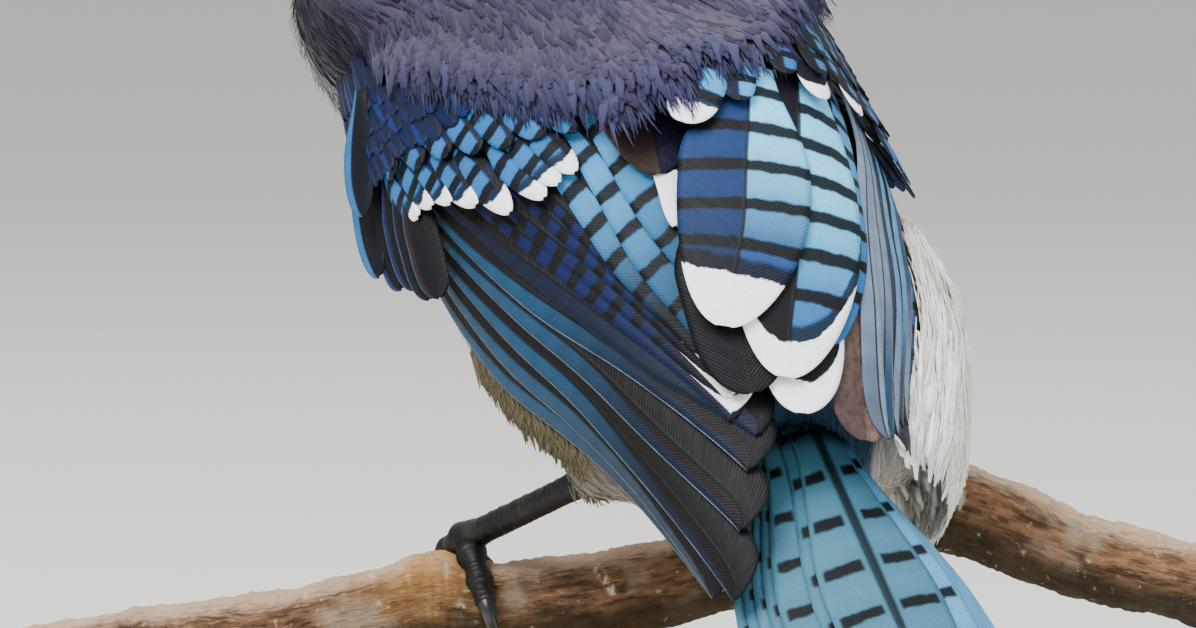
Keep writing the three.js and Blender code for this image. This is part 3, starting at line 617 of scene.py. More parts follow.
def body_tint(points, seed=5):
    """Colour of each point of skin or coat from where it is on the body and head: mauve back,
    painted shade that darkens the nape and the sides of the neck, blue crown, pale face and throat,
    black bridle that runs round from behind the crown to a necklace, grey breast, pale belly, the
    left flank's brownish grey darkened to olive by painted shade, and white flanks. Small seeded
    steps vary the borders from tuft to tuft."""
    rng = np.random.default_rng(seed)
    wander = rng.normal(0, 1, len(points))
    _, along, dorsal = off_bird(points)
    ahead, _, up = off_head(points)
    angle = np.degrees(body_angle(points))
    around = np.abs(angle) + wander * 2
    on_neck = smooth(40, 62, along)
    colours = np.broadcast_to(MARKS["mantle"], (len(points), 3)).copy()
    # Painted shade: the sides of the shoulders and neck darkened, and the whole neck a little
    colours = mark(colours, "mantle_painted_shade", smooth(70, 108, around) * smooth(10, 40, along) * 0.85)
    colours = mark(colours, "mantle_painted_shade", on_neck * 0.35)
    colours = mark(colours, "rump", (1 - smooth(-50, -30, along)) * (1 - smooth(62, 84, around)))
    colours = mark(colours, "breast", smooth(100, 122, around))
    belly = smooth(112, 135, around) * (1 - smooth(4, 26, along + wander))
    colours = mark(colours, "belly", belly)
    # The left flank's low side: its brownish grey darkened to olive as painted shade
    low_side = smooth(96, 112, around) * (1 - smooth(-16, 0, along))
    colours = mark(colours, "fringe_painted_shade", low_side * (angle > 0) * 0.75)
    right_flank = smooth(52, 66, around) * (1 - smooth(2, 12, along)) * (angle < 0)
    colours = mark(colours, "white", right_flank)
    colours = mark(colours, "white", (1 - smooth(-58, -46, along)) * smooth(70, 100, around))
    away = np.linalg.norm(points - HEAD_MIDDLE, axis=1)
    head = (1 - smooth(19.5, 23, away + wander * 0.6)) * smooth(-16, -9, ahead + 0.35 * (20 - up))
    face = mark(colours, "face", np.ones(len(points)))
    face = mark(face, "throat", 1 - smooth(-9, -4, up))
    crown_edge = 6.6 + 0.06 * (ahead - 4) ** 2 * (ahead < 4) * 0.4
    face = mark(face, "crown", smooth(-0.9, 0.9, up - crown_edge + wander * 0.25))
    bridle_line = -10.5 + 0.1 * (up + 4)
    bridle = 1 - smooth(1.4, 2.6, np.abs(ahead - bridle_line) + wander * 0.15)
    lores = 1 - smooth(1.2, 2.4, np.hypot((ahead - 16) * 0.55, up - 1.2))
    eye_line = (1 - smooth(0.5, 1.3, np.abs(up - 2.6 - 0.05 * (ahead - 9)))) * smooth(-4, -1, ahead)
    eye_line = eye_line * (1 - smooth(17, 19, ahead)) * 0.85
    forehead = 1 - smooth(1.6, 2.8, np.hypot(ahead - 19.5, (up - 4.6) * 0.9))
    for amount in (lores, eye_line, forehead):
        face = mark(face, "black", amount)
    colours = blend(colours, face, head[:, None])
    colours = mark(colours, "black", bridle * (up < 8.5) * (away < 27))
    chest = on_bird(16, 52, -30) - points
    near_chest = np.linalg.norm(chest * np.array([0.8, 1, 1]), axis=1)
    band = along + 0.55 * dorsal
    rising = 33 + 34 * (1 - smooth(94, 120, around))
    necklace = (1 - smooth(2.8, 4.6, np.abs(band - rising) + wander * 0.4)) * smooth(84, 94, around)
    colours = mark(colours, "black", necklace * (along > 30) * (near_chest < 60) * (away > 19))
    return colours


# Skin

COAT_DEPTH = 2.2
HEAD_COAT = 1.2
SKIN_VOXEL = 1.3 * MM


def body_tube(steps=70, sides=56, inset=COAT_DEPTH):
    """Rings of the torso and neck, each an ellipse whose size follows the body's rows less the
    coat's depth, from the rump to inside the head."""
    along = np.linspace(-74, 72, steps)
    x, dorsal, half_width, half_depth = np.moveaxis(rows_at(BODY_ROWS, along), -1, 0)
    sideways = np.broadcast_to([1.0, 0, 0], (steps, 3))
    upwards = np.broadcast_to(BODY_BACK, (steps, 3))
    middle = on_bird(x, along, dorsal)
    return ring_points(middle, sideways, upwards, half_width - inset, half_depth - inset, sides)


def head_tube(steps=40, sides=48, inset=HEAD_COAT):
    """Rings of the head along its own axis, from the nape to the base of the bill."""
    ahead = np.linspace(-23, BILL_BASE, steps)
    rise, half_width, half_height = np.moveaxis(rows_at(HEAD_ROWS, ahead), -1, 0)
    sideways = np.broadcast_to(HEAD_LEFT, (steps, 3))
    upwards = np.broadcast_to(HEAD_UP, (steps, 3))
    width, height = np.maximum(half_width - inset, 2), np.maximum(half_height - inset, 2)
    return ring_points(on_head(ahead, 0 * ahead, rise), sideways, upwards, width, height, sides)


def ball(centre, axes, radii, rings=18, sides=24):
    """An ellipsoid: rings at even polar angles along its third axis."""
    polar = (np.arange(rings) + 0.5) / rings * math.pi
    middle = np.asarray(centre) - np.cos(polar)[:, None] * np.asarray(axes[2]) * radii[2]
    first, second = (np.broadcast_to(axes[k], (rings, 3)) for k in range(2))
    return ring_points(middle, first, second, np.sin(polar) * radii[0], np.sin(polar) * radii[1], sides)


BODY_AXES = (np.array([1.0, 0, 0]), BODY_BACK, BODY_AHEAD)

# The bulge of each upper leg and where its bare shank starts, as in the solids
LEGS = {
    "left": {"distance": -32.5, "heel": (16.5, 5, -42), "bulge": (16, -30, -17), "radii": (9.5, 11, 13)},
    "right": {"distance": 40.5, "heel": (-26, 20, -31), "bulge": (-25.5, -35, -6), "radii": (13.5, 14, 20)},
}


def join_tubes(groups):
    """Points and faces of several closed tubes, before they are grown into one skin."""
    points, faces, first = [], [], 0
    for rings in groups:
        own, quads = tubes(rings)
        points.append(own)
        faces.append(quads + first)
        first += len(own)
    return np.concatenate(points), np.concatenate(faces)


def grow_skin(name, groups, material):
    """Closed tubes melted into one closed surface by a voxel remesh, then evened by smoothing."""
    points, faces = join_tubes(groups)
    piece = put_mesh(name, points, faces, material)
    melt = piece.modifiers.new("melt", "REMESH")
    melt.mode = "VOXEL"
    melt.voxel_size = SKIN_VOXEL
    even = piece.modifiers.new("even", "SMOOTH")
    even.factor = 0.5
    even.iterations = 14
    shaped = piece.evaluated_get(bpy.context.evaluated_depsgraph_get())
    mesh = bpy.data.meshes.new_from_object(shaped)
    piece.modifiers.clear()
    piece.data = mesh
    mesh.polygons.foreach_set("use_smooth", np.ones(len(mesh.polygons), bool))
    places = np.empty(len(mesh.vertices) * 3, np.float32)
    mesh.vertices.foreach_get("co", places)
    normals = np.empty_like(places)
    mesh.vertex_normals.foreach_get("vector", normals)
    return piece, places.reshape(-1, 3).astype(float) / MM, normals.reshape(-1, 3).astype(float)


def add_tint(piece, points):
    """Writes the markings into the skin's tint attribute."""
    layer = piece.data.attributes.new("tint", "FLOAT_VECTOR", "POINT")
    layer.data.foreach_set("vector", body_tint(points).astype(np.float32).ravel())


# Coat

BODY_CURVE = 33.0
HEAD_REACH = 23
MOST_TRIANGLES = 180000

# Half the side of a tuft's patch in the bake's layout, and the tuft's length that fills it
HALF_PATCH = 0.0013
PATCH_LENGTH = 12


def lie_of(points, normals):
    """Unit lie of the coat at each point: towards the tail on the body and towards the nape on the
    head, turned in between, and pressed onto the surface."""
    away = np.linalg.norm(points - HEAD_MIDDLE, axis=1)
    head_share = 1 - smooth(19, 30, away)
    ahead, left, up = off_head(points)
    back = -HEAD_AHEAD + 0.35 * np.sign(left)[:, None] * HEAD_LEFT * (smooth(0, 18, ahead)[:, None])
    back = back - 0.3 * HEAD_UP * (1 - smooth(-10, 4, up))[:, None]
    return unit(pressed(blend(-BODY_AHEAD, back, head_share[:, None]), normals))


def unwrap(points):
    """Place of each root on a flat unwrap of the skin: the angle round the body and the place along
    it, with the head in a corner of its own."""
    along = off_bird(points)[1]
    turn = body_angle(points) / (2 * math.pi) + 0.5
    body = np.stack([0.02 + 0.6 * turn, 0.04 + 0.9 * np.clip((along + 78) / 150, 0, 1)], -1)
    ahead, left, up = off_head(points)
    turn = np.arctan2(left, up) / (2 * math.pi) + 0.5
    head = np.stack([0.66 + 0.32 * turn, 0.04 + 0.6 * np.clip((ahead + 24) / 48, 0, 1)], -1)
    near_head = np.linalg.norm(points - HEAD_MIDDLE, axis=1) < HEAD_REACH
    return np.where(near_head[:, None], head, body)


def tufts(roots, normals, lie, length, width, rise, seeds, shape=(5, 3), bend=None, sink=0.8, camber=0.3,
          path=None):
    """Thin closed tufts. The middle line is root + lie L t + normal (rise L t (1 - t / 2)
    - L^2 t^2 / 2R - sink); the half width swells, then tapers to the tip; the edges droop with the
    square of the place across. A path gives the middle lines' own rings in place of the straight lie
    and the bend. Returns the grid, places across and millimetres from the tip."""
    rings, places = shape
    t = np.linspace(0, 1, rings)
    u = np.linspace(-1, 1, places)
    measures = (length, width, rise)
    length, width, rise = (np.broadcast_to(value, len(roots)).astype(float) for value in measures)
    sideways = unit(np.cross(normals, lie))
    run = length[:, None] * t
    curve = BODY_CURVE if bend is None else bend
    height = rise[:, None] * run * (1 - 0.5 * t) - run**2 / (2 * curve) * (1 - 0.3 * t) - sink
    swell = 0.45 + 0.55 * smooth(0, 0.4, t)
    half = 0.5 * width[:, None] * swell * np.sqrt(1 - 0.93 * smooth(0.35, 1.05, t) ** 1.3)
    swing = (seeds[:, None] - 0.5) * 0.35 * run * t
    start = roots[:, None] + lie[:, None] * run[..., None]
    if path is not None:
        start, height = path, rise[:, None] * run - sink
    middle = start + normals[:, None] * height[..., None] + sideways[:, None] * swing[..., None]
    surface = (middle[:, :, None] + sideways[:, None, None] * (half[..., None] * u)[..., None]
               - normals[:, None, None] * (camber * half[..., None] * u**2)[..., None])
    across = np.broadcast_to(u, surface.shape[:3])
    from_tip = np.broadcast_to((length[:, None] - run)[..., None], surface.shape[:3])
    return surface, across, from_tip


def put_coat(name, material, roots, normals, lie, length, width, rise, seed, shape=(5, 3), tint=None,
             thickness=0.22, **form):
    """Joined tufts as pieces of at most MOST_TRIANGLES, with tint, vane and OFBake."""
    rng = np.random.default_rng(seed)
    seeds = rng.random(len(roots))
    surface, across, from_tip = tufts(roots, normals, lie, length, width, rise, seeds, shape, **form)
    surface = shells(surface, thickness)
    rings, places = shape
    each = 2 * ((rings - 1) * 2 * places + 2 * (places - 1))
    colours = body_tint(roots, seed) if tint is None else np.broadcast_to(tint, (len(roots), 3))
    patch = unwrap(roots)
    parts = max(1, math.ceil(len(roots) * each / MOST_TRIANGLES))
    order = np.argsort(off_bird(roots)[1], kind="stable")
    made = []
    for number, chosen in enumerate(np.array_split(order, parts)):
        points, faces = tubes(surface[chosen])
        shown = (len(chosen), rings, 2 * places)
        vane = np.stack([fields(across[chosen]), fields(from_tip[chosen]),
                         np.broadcast_to(seeds[chosen][:, None, None], shown).ravel()], -1)
        tints = np.broadcast_to(colours[chosen][:, None, None], (*shown, 3)).reshape(-1, 3)
        spot = np.broadcast_to(patch[chosen][:, None, None], (*shown, 2)).reshape(-1, 2).copy()
        spot[:, 0] += vane[:, 0] * HALF_PATCH
        spot[:, 1] += (2 * np.clip(vane[:, 1] / PATCH_LENGTH, 0, 1) - 1) * HALF_PATCH
        label = name if parts == 1 else f"{name}_{number + 1}"
        made.append(put_mesh(label, points, faces, material, {"tint": tints, "vane": vane}, spot))
    return made


# Wings

TUCK = 0.22
TUCK_DROP = 7
RIGHT_HUG = 3
OVERLAP_LIFT = 5.9

# Hidden flight feathers of the right wing from the outermost primary, 0, inwards: root place and
# angle, tip place and angle, bow
FLIGHTS = np.array([
    [0, 18, 94, -60, 66, -12],
    [3, 17, 88, -64, 62, -12],
    [7, 13, 76, -64, 48, -8],
    [10, 9, 60, -65, 32, 0],
    [12, 6, 49, -67, 16, 0],
    [13, 5, 42, -65, 4, 0],
    [14, 3, 32, -54, -9, 0],
    [15, -1, 8, -43, -21, 0],
])


def on_wing(side, along, angle, lift):
    """Point over the surface that the folded wings lie on, from a place along the body, an angle
    round it from the middle of the back in degrees, and a lift. The right wing is drawn in towards
    the tail and its inner edge rises over the left wing."""
    dorsal, half_width, half_depth = np.moveaxis(rows_at(WING_ROWS, along), -1, 0)
    right = 1.0 if side < 0 else 0.0
    tuck = right * (1 - smooth(-84, -32, along))
    over = right * OVERLAP_LIFT * (1 - smooth(4, 40, angle))
    height = lift + over - right * RIGHT_HUG * smooth(-20, 15, along)
    turn = np.asarray(angle) * DEG
    x = side * (half_width * (1 - TUCK * tuck) + height) * np.sin(turn)
    return on_bird(x, along, dorsal - TUCK_DROP * tuck + (half_depth + height) * np.cos(turn))


def wing_radius(side, along, angle, lift):
    """Mean radius of the surface that a lifted feather lies on."""
    over = (OVERLAP_LIFT if side < 0 else 0) * (1 - smooth(4, 40, angle))
    return rows_at(WING_ROWS, along)[..., 1:].mean(axis=-1) + lift + over


def outline(t, sharp, power):
    """Half width along a feather over its widest: a narrow root, a full middle, and from the share
    sharp on a tip that closes as the root of 1 - x^power."""
    tip = np.clip((t - sharp) / (1 - sharp), 0, 1)
    return (0.4 + 0.6 * smooth(0, 0.4, t)) * np.sqrt(1 - 0.985 * tip**power)


def from_root(count):
    """Places from root to tip that crowd towards the tip, as sin of a quarter turn."""
    return np.sin(np.linspace(0, 1, count) * math.pi / 2)


def chart_feathers(side, along, angle, half, lift, tilt, places, sharp, power, lean=0.0, camber=0.25):
    """Feathers over the wing from arrays of feathers by rings of place, angle and lift. Across, a
    point moves by w (u - lean) square to the line on the unrolled surface, where w is the half width
    by the outline, and rises by tilt w (u - lean) and camber (1 - u^2), so that outer edges lie over
    the next feather out. Lean 1 draws the feather inwards from a line that is its outer edge."""
    t = from_root(along.shape[1])
    u = np.linspace(-1, 1, places)
    radius = wing_radius(side, along, angle, lift)
    run = np.gradient(along, axis=1)
    drift = np.gradient(angle * DEG, axis=1) * radius
    span = np.hypot(run, drift)
    offset = (np.reshape(half, (-1, 1)) * outline(t, sharp, power))[..., None] * (u - lean)
    place = along[..., None] + offset * (drift / span)[..., None]
    turn = angle[..., None] - offset * (run / span / radius)[..., None] / DEG
    height = lift[..., None] + offset * np.reshape(tilt, (-1, 1, 1)) + camber * (1 - u**2)
    return on_wing(side, place, turn, height)


def lined(rows, rings):
    """Places and angles along feathers whose rows hold four pairs of them from root to tip, joined
    by Hermite curves."""
    rows = np.asarray(rows, float).reshape(-1, 4, 2)
    t = from_root(rings)
    thirds = np.arange(4)[:, None] / 3
    line = np.stack([rows_at(np.hstack([thirds, row]), t) for row in rows])
    return line[..., 0], line[..., 1]


def feather_uvs(count, rings, places, faces_flipped):
    """A corner by corner layout in which no two feathers overlap: each has a cell of a grid, with
    its upper face in the left half and its lower face in the right half."""
    sides = 2 * places
    columns = max(1, math.ceil(math.sqrt(count * 3)))
    lines = math.ceil(count / columns)
    cell = np.arange(count)
    corner = np.stack([cell % columns / columns, cell // columns / lines], -1)
    size = np.array([0.9 / columns, 0.9 / lines])
    r, s = np.meshgrid(np.arange(rings - 1), np.arange(sides), indexing="ij")
    steps = np.array([[0, 0], [0, 1], [1, 1], [1, 0]])
    v = (r[..., None] + steps[:, 0]) / (rings - 1)
    w = (s[..., None] + steps[:, 1]) / sides
    body = np.stack([w, v], -1).reshape(-1, 4, 2)
    caps = 2 * (places - 1)
    end = np.zeros((caps, 4, 2))
    end[caps // 2:, :, 1] = 1
    one = np.concatenate([body, end])
    if faces_flipped:
        one = one[:, ::-1]
    return (corner[:, None, None] + one[None] * size).reshape(-1, 2)


def put_feathers(name, surface, half, material, look, seed=0, thickness=0.28, sharp=0.6, power=2.6,
                 shaft=0.0):
    """Joined stiff feathers from an array of feathers by rings by places by 3, with a layout of their
    own and the attributes that plume_finish reads. look holds colours by name for outer, far and
    inner, and numbers for bars, tip, follow and shade, each for all feathers or one by one. The
    distance to the tip's edge is that to the tip less that of the ring where the outline is as wide
    as the point's place across."""
    rng = np.random.default_rng(seed)
    count, rings, places, _ = surface.shape
    seeds = rng.random(count)
    steps = np.linalg.norm(np.diff(surface[:, :, places // 2], axis=1), axis=-1)
    run = np.concatenate([np.zeros((count, 1)), np.cumsum(steps, axis=1)], axis=1)
    from_tip = np.broadcast_to((run[:, -1:] - run)[..., None], surface.shape[:3])
    u = np.linspace(-1, 1, places)
    across = np.broadcast_to(u, surface.shape[:3])
    width = outline(from_root(rings), sharp, power)[:, None]
    closing = np.linspace(1, 0.4, 80)
    ends = np.interp(np.abs(u) * width, outline(closing, sharp, power), closing)
    from_edge = np.maximum(from_tip - run[:, -1:, None] * (1 - ends), 0)
    off = (u - shaft) * width * np.reshape(half, (-1, 1, 1)) * np.ones(surface.shape[:3])
    points = shells(surface, thickness).reshape(-1, 3)
    plain = tube_faces(rings, 2 * places, count)
    faces = outward(points, plain)
    flipped = not np.array_equal(faces[0], plain[0])
    shown = (count, rings, 2 * places)

    def spread(values, size=None):
        values = np.asarray(values, float)
        if size is None:
            return np.broadcast_to(np.broadcast_to(values, count)[:, None, None], shown).ravel()
        each = np.broadcast_to(values, (count, size))[:, None, None]
        return np.broadcast_to(each, (*shown, size)).reshape(-1, size)

    def named(key):
        names = look[key] if isinstance(look[key], list) else [look[key]] * count
        return spread([PLUMES[colour_name] for colour_name in names], 3)

    shades = np.broadcast_to(look.get("shade", 1.0), count) * (0.93 + 0.14 * rng.random(count))
    attributes = {
        "vane": np.stack([fields(across), fields(from_tip), spread(seeds)], -1),
        "trait": np.stack(
            [spread(look.get("tip", -3.0)), spread(look.get("follow", 0.0)), spread(shades)], -1),
        "local": np.stack([fields(off), fields(from_edge), spread(look.get("slant", 0.0))], -1),
        "bars": spread(look.get("bars", (6.0, -0.3, 0.0)), 3),
        "outer": named("outer"), "far": named("far"), "inner": named("inner"),
    }
    piece = put_mesh(name, points, faces, material, attributes)
    layer = piece.data.uv_layers.new(name="OFBake")
    layer.data.foreach_set("uv", feather_uvs(count, rings, places, flipped).astype(np.float32).ravel())
    return piece


def flight_lines(first, last, step, rings=4):
    """Lines of flight feathers by their number: place and angle run from root to tip, with the
    angle's share t^1.15 and a bow of 4 t (1 - t)."""
    t = from_root(rings)
    index = np.arange(first, last, step)
    root_along, root_angle, tip_along, tip_angle, bow = (
        part[:, None] for part in np.moveaxis(rows_at(FLIGHTS, index), -1, 0))
    along = blend(root_along, tip_along, t)
    angle = blend(root_angle, tip_angle, t**1.15) + bow * 4 * t * (1 - t)
    return np.stack([along, angle], -1).reshape(-1, 2 * rings)


# Colours of the stiff feathers
PLUMES = {
    "teal": colour(26, 64, 92),
    "strip": colour(30, 64, 92),
    "steel": colour(44, 56, 70),
    "lavender": colour(112, 130, 156),
    "pale_blue": colour(84, 140, 190),
    "sky": colour(112, 200, 242),
    "cyan": colour(64, 136, 190),
    "azure": colour(40, 98, 156),
    "royal": colour(17, 42, 102),
    "cobalt": colour(20, 48, 92),
    "deep": colour(9, 24, 66),
    "navy": colour(6, 10, 26),
    "slate": colour(14, 24, 44),
    "ink": colour(3, 4, 8),
    "plum": colour(14, 12, 26),
    "soot": colour(14, 11, 10),
    "umber": colour(42, 28, 22),
    "dun": colour(112, 90, 84),
    "violet": colour(18, 30, 70),
    "tail_teal": colour(62, 108, 130),
    "tail_blue": colour(72, 118, 148),
    "tail_sky": colour(88, 150, 196),
    "crown": colour(50, 76, 148),
    "crest": colour(66, 98, 172),
}

# Feathers of the wings by their lines: four pairs of place and angle from root to tip
LEFT_PRIMARIES = (
    (4, 97.5, -29.2, 96.5, -57.3, 89, -84, 86.5), (4, 94, -29.9, 89.5, -58.4, 84.5, -84.3, 85),
    (5, 91, -33.1, 81, -60.1, 78, -87.5, 74.1), (6, 88, -31, 73.5, -58, 65.2, -78.3, 53.5),
    (7, 85, -26.7, 69.6, -49.5, 55.1, -69.7, 39.9),
)
LEFT_SECONDARIES = (
    (8, 81.5, -24.6, 64.3, -47.3, 52, -64.8, 32.2), (6, 75, -24.2, 58.6, -43.1, 49.2, -61, 37.5),
    (4, 69, -26.3, 54, -43, 46, -60, 36), (2, 63, -27.4, 49.6, -42.6, 42.8, -57.5, 35.5),
    (1, 57, -28.8, 46.4, -42.2, 40.6, -54.5, 34),
)
LEFT_TERTIALS = (
    (2, 50.5, -16.4, 47.3, -32.7, 44.4, -48.8, 37.5), (4, 43.5, -17.1, 41, -33.1, 39.6, -50.5, 34.4),
    (6, 38, -13.9, 35.7, -27.4, 33.4, -45.5, 27.4),
)
LEFT_TERTIAL_TOP = ((2, 23.5, -6, 23.8, -11.5, 24.6, -18, 26), (-8, 22.5, -14, 23, -20, 24.4, -27.5, 27.5))
GREATER_COVERTS = (
    (17.5, 90, 11.5, 87, 6.5, 84.5, 1.8, 82), (16, 84.5, 10.7, 81.5, 5.7, 79, 0.7, 77),
    (13.9, 79.5, 8.2, 76.4, 3.6, 74, -1.8, 71.8),
    (9.6, 72.6, 4.6, 70.2, -0.7, 68.3, -5.7, 66.3), (5.3, 66, 0.4, 63.6, -5.3, 61.7, -11, 59.7),
    (2.5, 58.2, -2.5, 55.9, -7.1, 53.5, -12.5, 51.2), (2.1, 53.5, -2.1, 51.6, -6.4, 49.6, -11.7, 46.9),
    (2.1, 49.2, -1.8, 46.9, -6, 45, -11.4, 42.6),
)
MEDIAN_COVERTS = (
    (23.5, 90.8, 18.5, 87.7, 14.6, 85, 11, 83.8), (20.3, 81.1, 15.7, 78.4, 11.4, 76.1, 7.5, 74.5),
    (17.1, 72.2, 12.8, 70.2, 8.5, 68.3, 5, 66.7), (13.9, 65.6, 10, 63.2, 5.7, 61.3, 1.4, 59.7),
    (11.4, 59.3, 7.1, 57, 3.2, 54.7, -1.4, 53.1), (8.5, 52.4, 4.6, 50.4, 0.7, 47.7, -3.2, 45.8),
    (5.7, 45.8, 2.1, 43.4, -1.4, 40.7, -5.3, 38.4),
)
ALULA = ((30, 86, 22.4, 92.7, 17.9, 96.5, 11.9, 97.5), (26, 90, 17.9, 99.9, 12.5, 104.7, 4.1, 104.9))
PRIMARY_COVERTS = (
    (20, 98, 13, 99.5, 5, 101, -1, 101.5), (17, 90, 8.6, 91.5, 1.7, 93.5, -5, 95.5),
    (15, 85.5, 5, 87, -2.9, 89.5, -9.4, 92),
    (12, 82, 2.3, 83.5, -5, 86, -11.6, 88),
)
RIGHT_STRIPS = (
    (8, 62, -22, 46, -42, 38, -63, 27), (8, 58, -25.3, 41, -44.5, 32.9, -65.1, 20.5),
    (8, 54, -25.6, 35.3, -46.3, 27.1, -67.6, 15.5),
    (7, 50, -27.4, 27.9, -48, 20.1, -68.7, 12), (5, 44, -30.2, 20.1, -49.5, 13.9, -69.7, 9),
)
RIGHT_UNDER = (
    (-28.8, 0, -43.1, -6.5, -54.1, -10.5, -64.1, -16), (-26, -19, -37, -22, -48.8, -24.5, -59.4, -27),
    (-27.4, 14.7, -44.8, 9.5, -58, 6, -69.6, 1.5),
)
RIGHT_TERTIALS = (
    (6, 28, -21.3, 11.2, -38.8, 4.2, -54.4, -3.2), (6, 14, -21.3, 2.2, -42, -7.1, -58.9, -18),
    (-4, -1.5, -20, -8.8, -35.2, -16.4, -49.4, -27.9),
)
RIGHT_COVERTS = (
    (10.7, 31, 3.9, 27.9, -3.2, 25.2, -10.7, 23.2), (1.8, 12.3, -3.2, 11.2, -7.5, 10.8, -12.1, 10.4),
    (-0.5, -3, -4.8, -4.5, -8.7, -6.3, -12.6, -7.6), (-0.7, -9, -5.7, -12.1, -10.3, -15.6, -14.4, -19.8),
)
RIGHT_SMALL = (
    (14, 38, 8, 34, 3, 31.5, -2, 29.6), (17, 31, 11, 28, 5.5, 25, 0.5, 22.6),
    (8.9, 22, 3.9, 20, -0.7, 18.2, -5.7, 17.4),
    (5, 14, 0.5, 13.4, -3, 13, -7, 12.6), (3, 5.7, -1.1, 5, -4.7, 4.4, -8.2, 3.5),
    (11, 16, 6, 16, 2, 16, -2, 15.6),
)


# Tail, crest and face

TAIL_ROOT = -57
TAIL_LEVEL = 13
TAIL_LENGTH = 132
TAIL_SPLAY = 12.5 * DEG
TAIL_HALF = 10.8
TAIL_PAIRS = 6
TAIL_SHARES = (0, 0.44, 0.56, 0.68, 0.8, 0.92)
TAIL_BARS = (9.2, 0.23, 10.0)
TAIL_SLANT = (0.26, -0.26)
TAIL_COVERTS = 480


def tail_feathers(pairs, sides, shape):
    """Tail feathers: each runs straight back from the rump, splayed by its pair, and is level
    across but for a sag of 0.02 |x|^1.5. The middle pair lies on top and every pair outwards lies
    under the last. Across, u = 1 is the outer side."""
    rings, places = shape
    pairs, sides = np.asarray(pairs, float), np.asarray(sides, float)
    share = np.interp(pairs, np.arange(TAIL_PAIRS), TAIL_SHARES)
    splay = TAIL_SPLAY * share
    length = TAIL_LENGTH - 12 - 13 * share**2
    half = TAIL_HALF - 2 * share
    t = from_root(rings)
    u = np.linspace(-1, 1, places)
    reach = (length[:, None] * t)[..., None]
    root_x = (sides * (0.9 + 6.2 * share))[:, None, None]
    side = sides[:, None, None]
    tip = np.sqrt(1 - 0.97 * np.clip((t - 0.86) / 0.14, 0, 1) ** 2.4)
    outline = (0.42 + 0.58 * smooth(0, 0.3, t)) * tip
    offset = side * half[:, None, None] * outline[None, :, None] * u
    slope = splay[:, None, None]
    x = root_x + side * reach * np.sin(slope) + offset * np.cos(slope)
    place = TAIL_ROOT - reach * np.cos(slope) + side * offset * np.sin(slope)
    lower = np.where(pairs > 0, pairs + 1, np.where(sides > 0, 1, 0))[:, None, None] * 0.85
    sag = 0.02 * np.abs(x) ** 1.5
    camber = 0.7 * (1 - u**2)
    return on_bird(x, place, TAIL_LEVEL - lower - sag + camber), half


CREST_LENGTHS = (11, 27)
CREST_RISE = (30 * DEG, 15 * DEG)


def crest_feathers(count, shape, seed=31):
    """Crest: narrow feathers swept back from the crown. Each leaves the head's surface at a rise
    that falls towards the nape, bends up by a tenth of a turn, and closes on the middle line."""
    rng = np.random.default_rng(seed)
    rings, places = shape
    share = np.linspace(0, 1, count) ** 0.8
    left = rng.uniform(-1, 1, count) * blend(5.5, 9.5, share)
    ahead = blend(15, -11, share) - 0.12 * np.abs(left) * 3 + rng.normal(0, 0.8, count)
    length = blend(*CREST_LENGTHS, share) * (1 - 0.045 * np.abs(left)) * rng.uniform(0.85, 1.05, count)
    rise = blend(*CREST_RISE, share) + rng.normal(0, 2.5, count) * DEG
    rise = rise - 0.9 * DEG * np.abs(left)
    middle, half_width, half_height = np.moveaxis(rows_at(HEAD_ROWS, ahead), -1, 0)
    up = middle + half_height * np.sqrt(np.clip(1 - (left / half_width) ** 2, 0.05, 1)) - 1.9
    half = blend(1.7, 2.6, share)
    t = from_root(rings)
    u = np.linspace(-1, 1, places)
    angle = rise[:, None] + 9 * DEG * t
    reach = length[:, None] * t
    taper = np.sqrt(1 - 0.97 * np.clip((t - 0.4) / 0.6, 0, 1) ** 2)
    width = (half[:, None] * (0.5 + 0.5 * smooth(0, 0.4, t)) * taper)[..., None] * u
    back = ahead[:, None] - reach * np.cos(angle)
    high = up[:, None] + reach * np.sin(angle)
    lean = (left / half_width)[:, None, None]
    surface = on_head(back[..., None] + 0 * width, left[:, None, None] * (1 - 0.3 * t[:, None]) + width,
                      high[..., None] - np.abs(width) * 0.35 - width * lean)
    return surface, half


def eye_centre(side):
    return on_head(9, side * 12, 3.4)


def eye_axes(side):
    """Axes of an eye: ahead, up, and outwards through the pupil."""
    out = unit(HEAD_LEFT * side + HEAD_AHEAD * 0.32 + HEAD_UP * 0.16)
    first = unit(HEAD_AHEAD - out * (HEAD_AHEAD @ out))
    return first, np.cross(out, first), out


def eye_ball(side):
    """A sphere with the cornea's low bulge about its outward axis."""
    first, second, out = eye_axes(side)
    polar = np.linspace(0.02, math.pi - 0.02, 30)
    bulge = 1 + 0.07 * smooth(0.72, 1, -np.cos(polar))
    middle = eye_centre(side) - np.cos(polar)[:, None] * out * EYE_RADIUS * bulge[:, None]
    axes = (np.broadcast_to(axis, (30, 3)) for axis in (first, second))
    radius = np.sin(polar) * EYE_RADIUS
    return ring_points(middle, *axes, radius, radius, 36)


def lid_rim(side, radius=4.3, thick=0.55):
    """The bare rim of the lids: a ring round the eye, drawn in a little ahead and behind so that
    the opening is almond shaped: radius (1 - 0.05 cos 2t)."""
    first, second, out = eye_axes(side)
    turn = np.linspace(0, 2 * math.pi, 49)
    reach = radius * (1 - 0.05 * np.cos(2 * turn))
    centre = eye_centre(side) + out * 1.75
    outwards = first * np.cos(turn)[:, None] + second * np.sin(turn)[:, None]
    path = centre + outwards * reach[:, None]
    depth = np.broadcast_to(out, path.shape)
    return ring_points(path, outwards, depth, np.full(49, thick), np.full(49, thick * 1.3), 10)


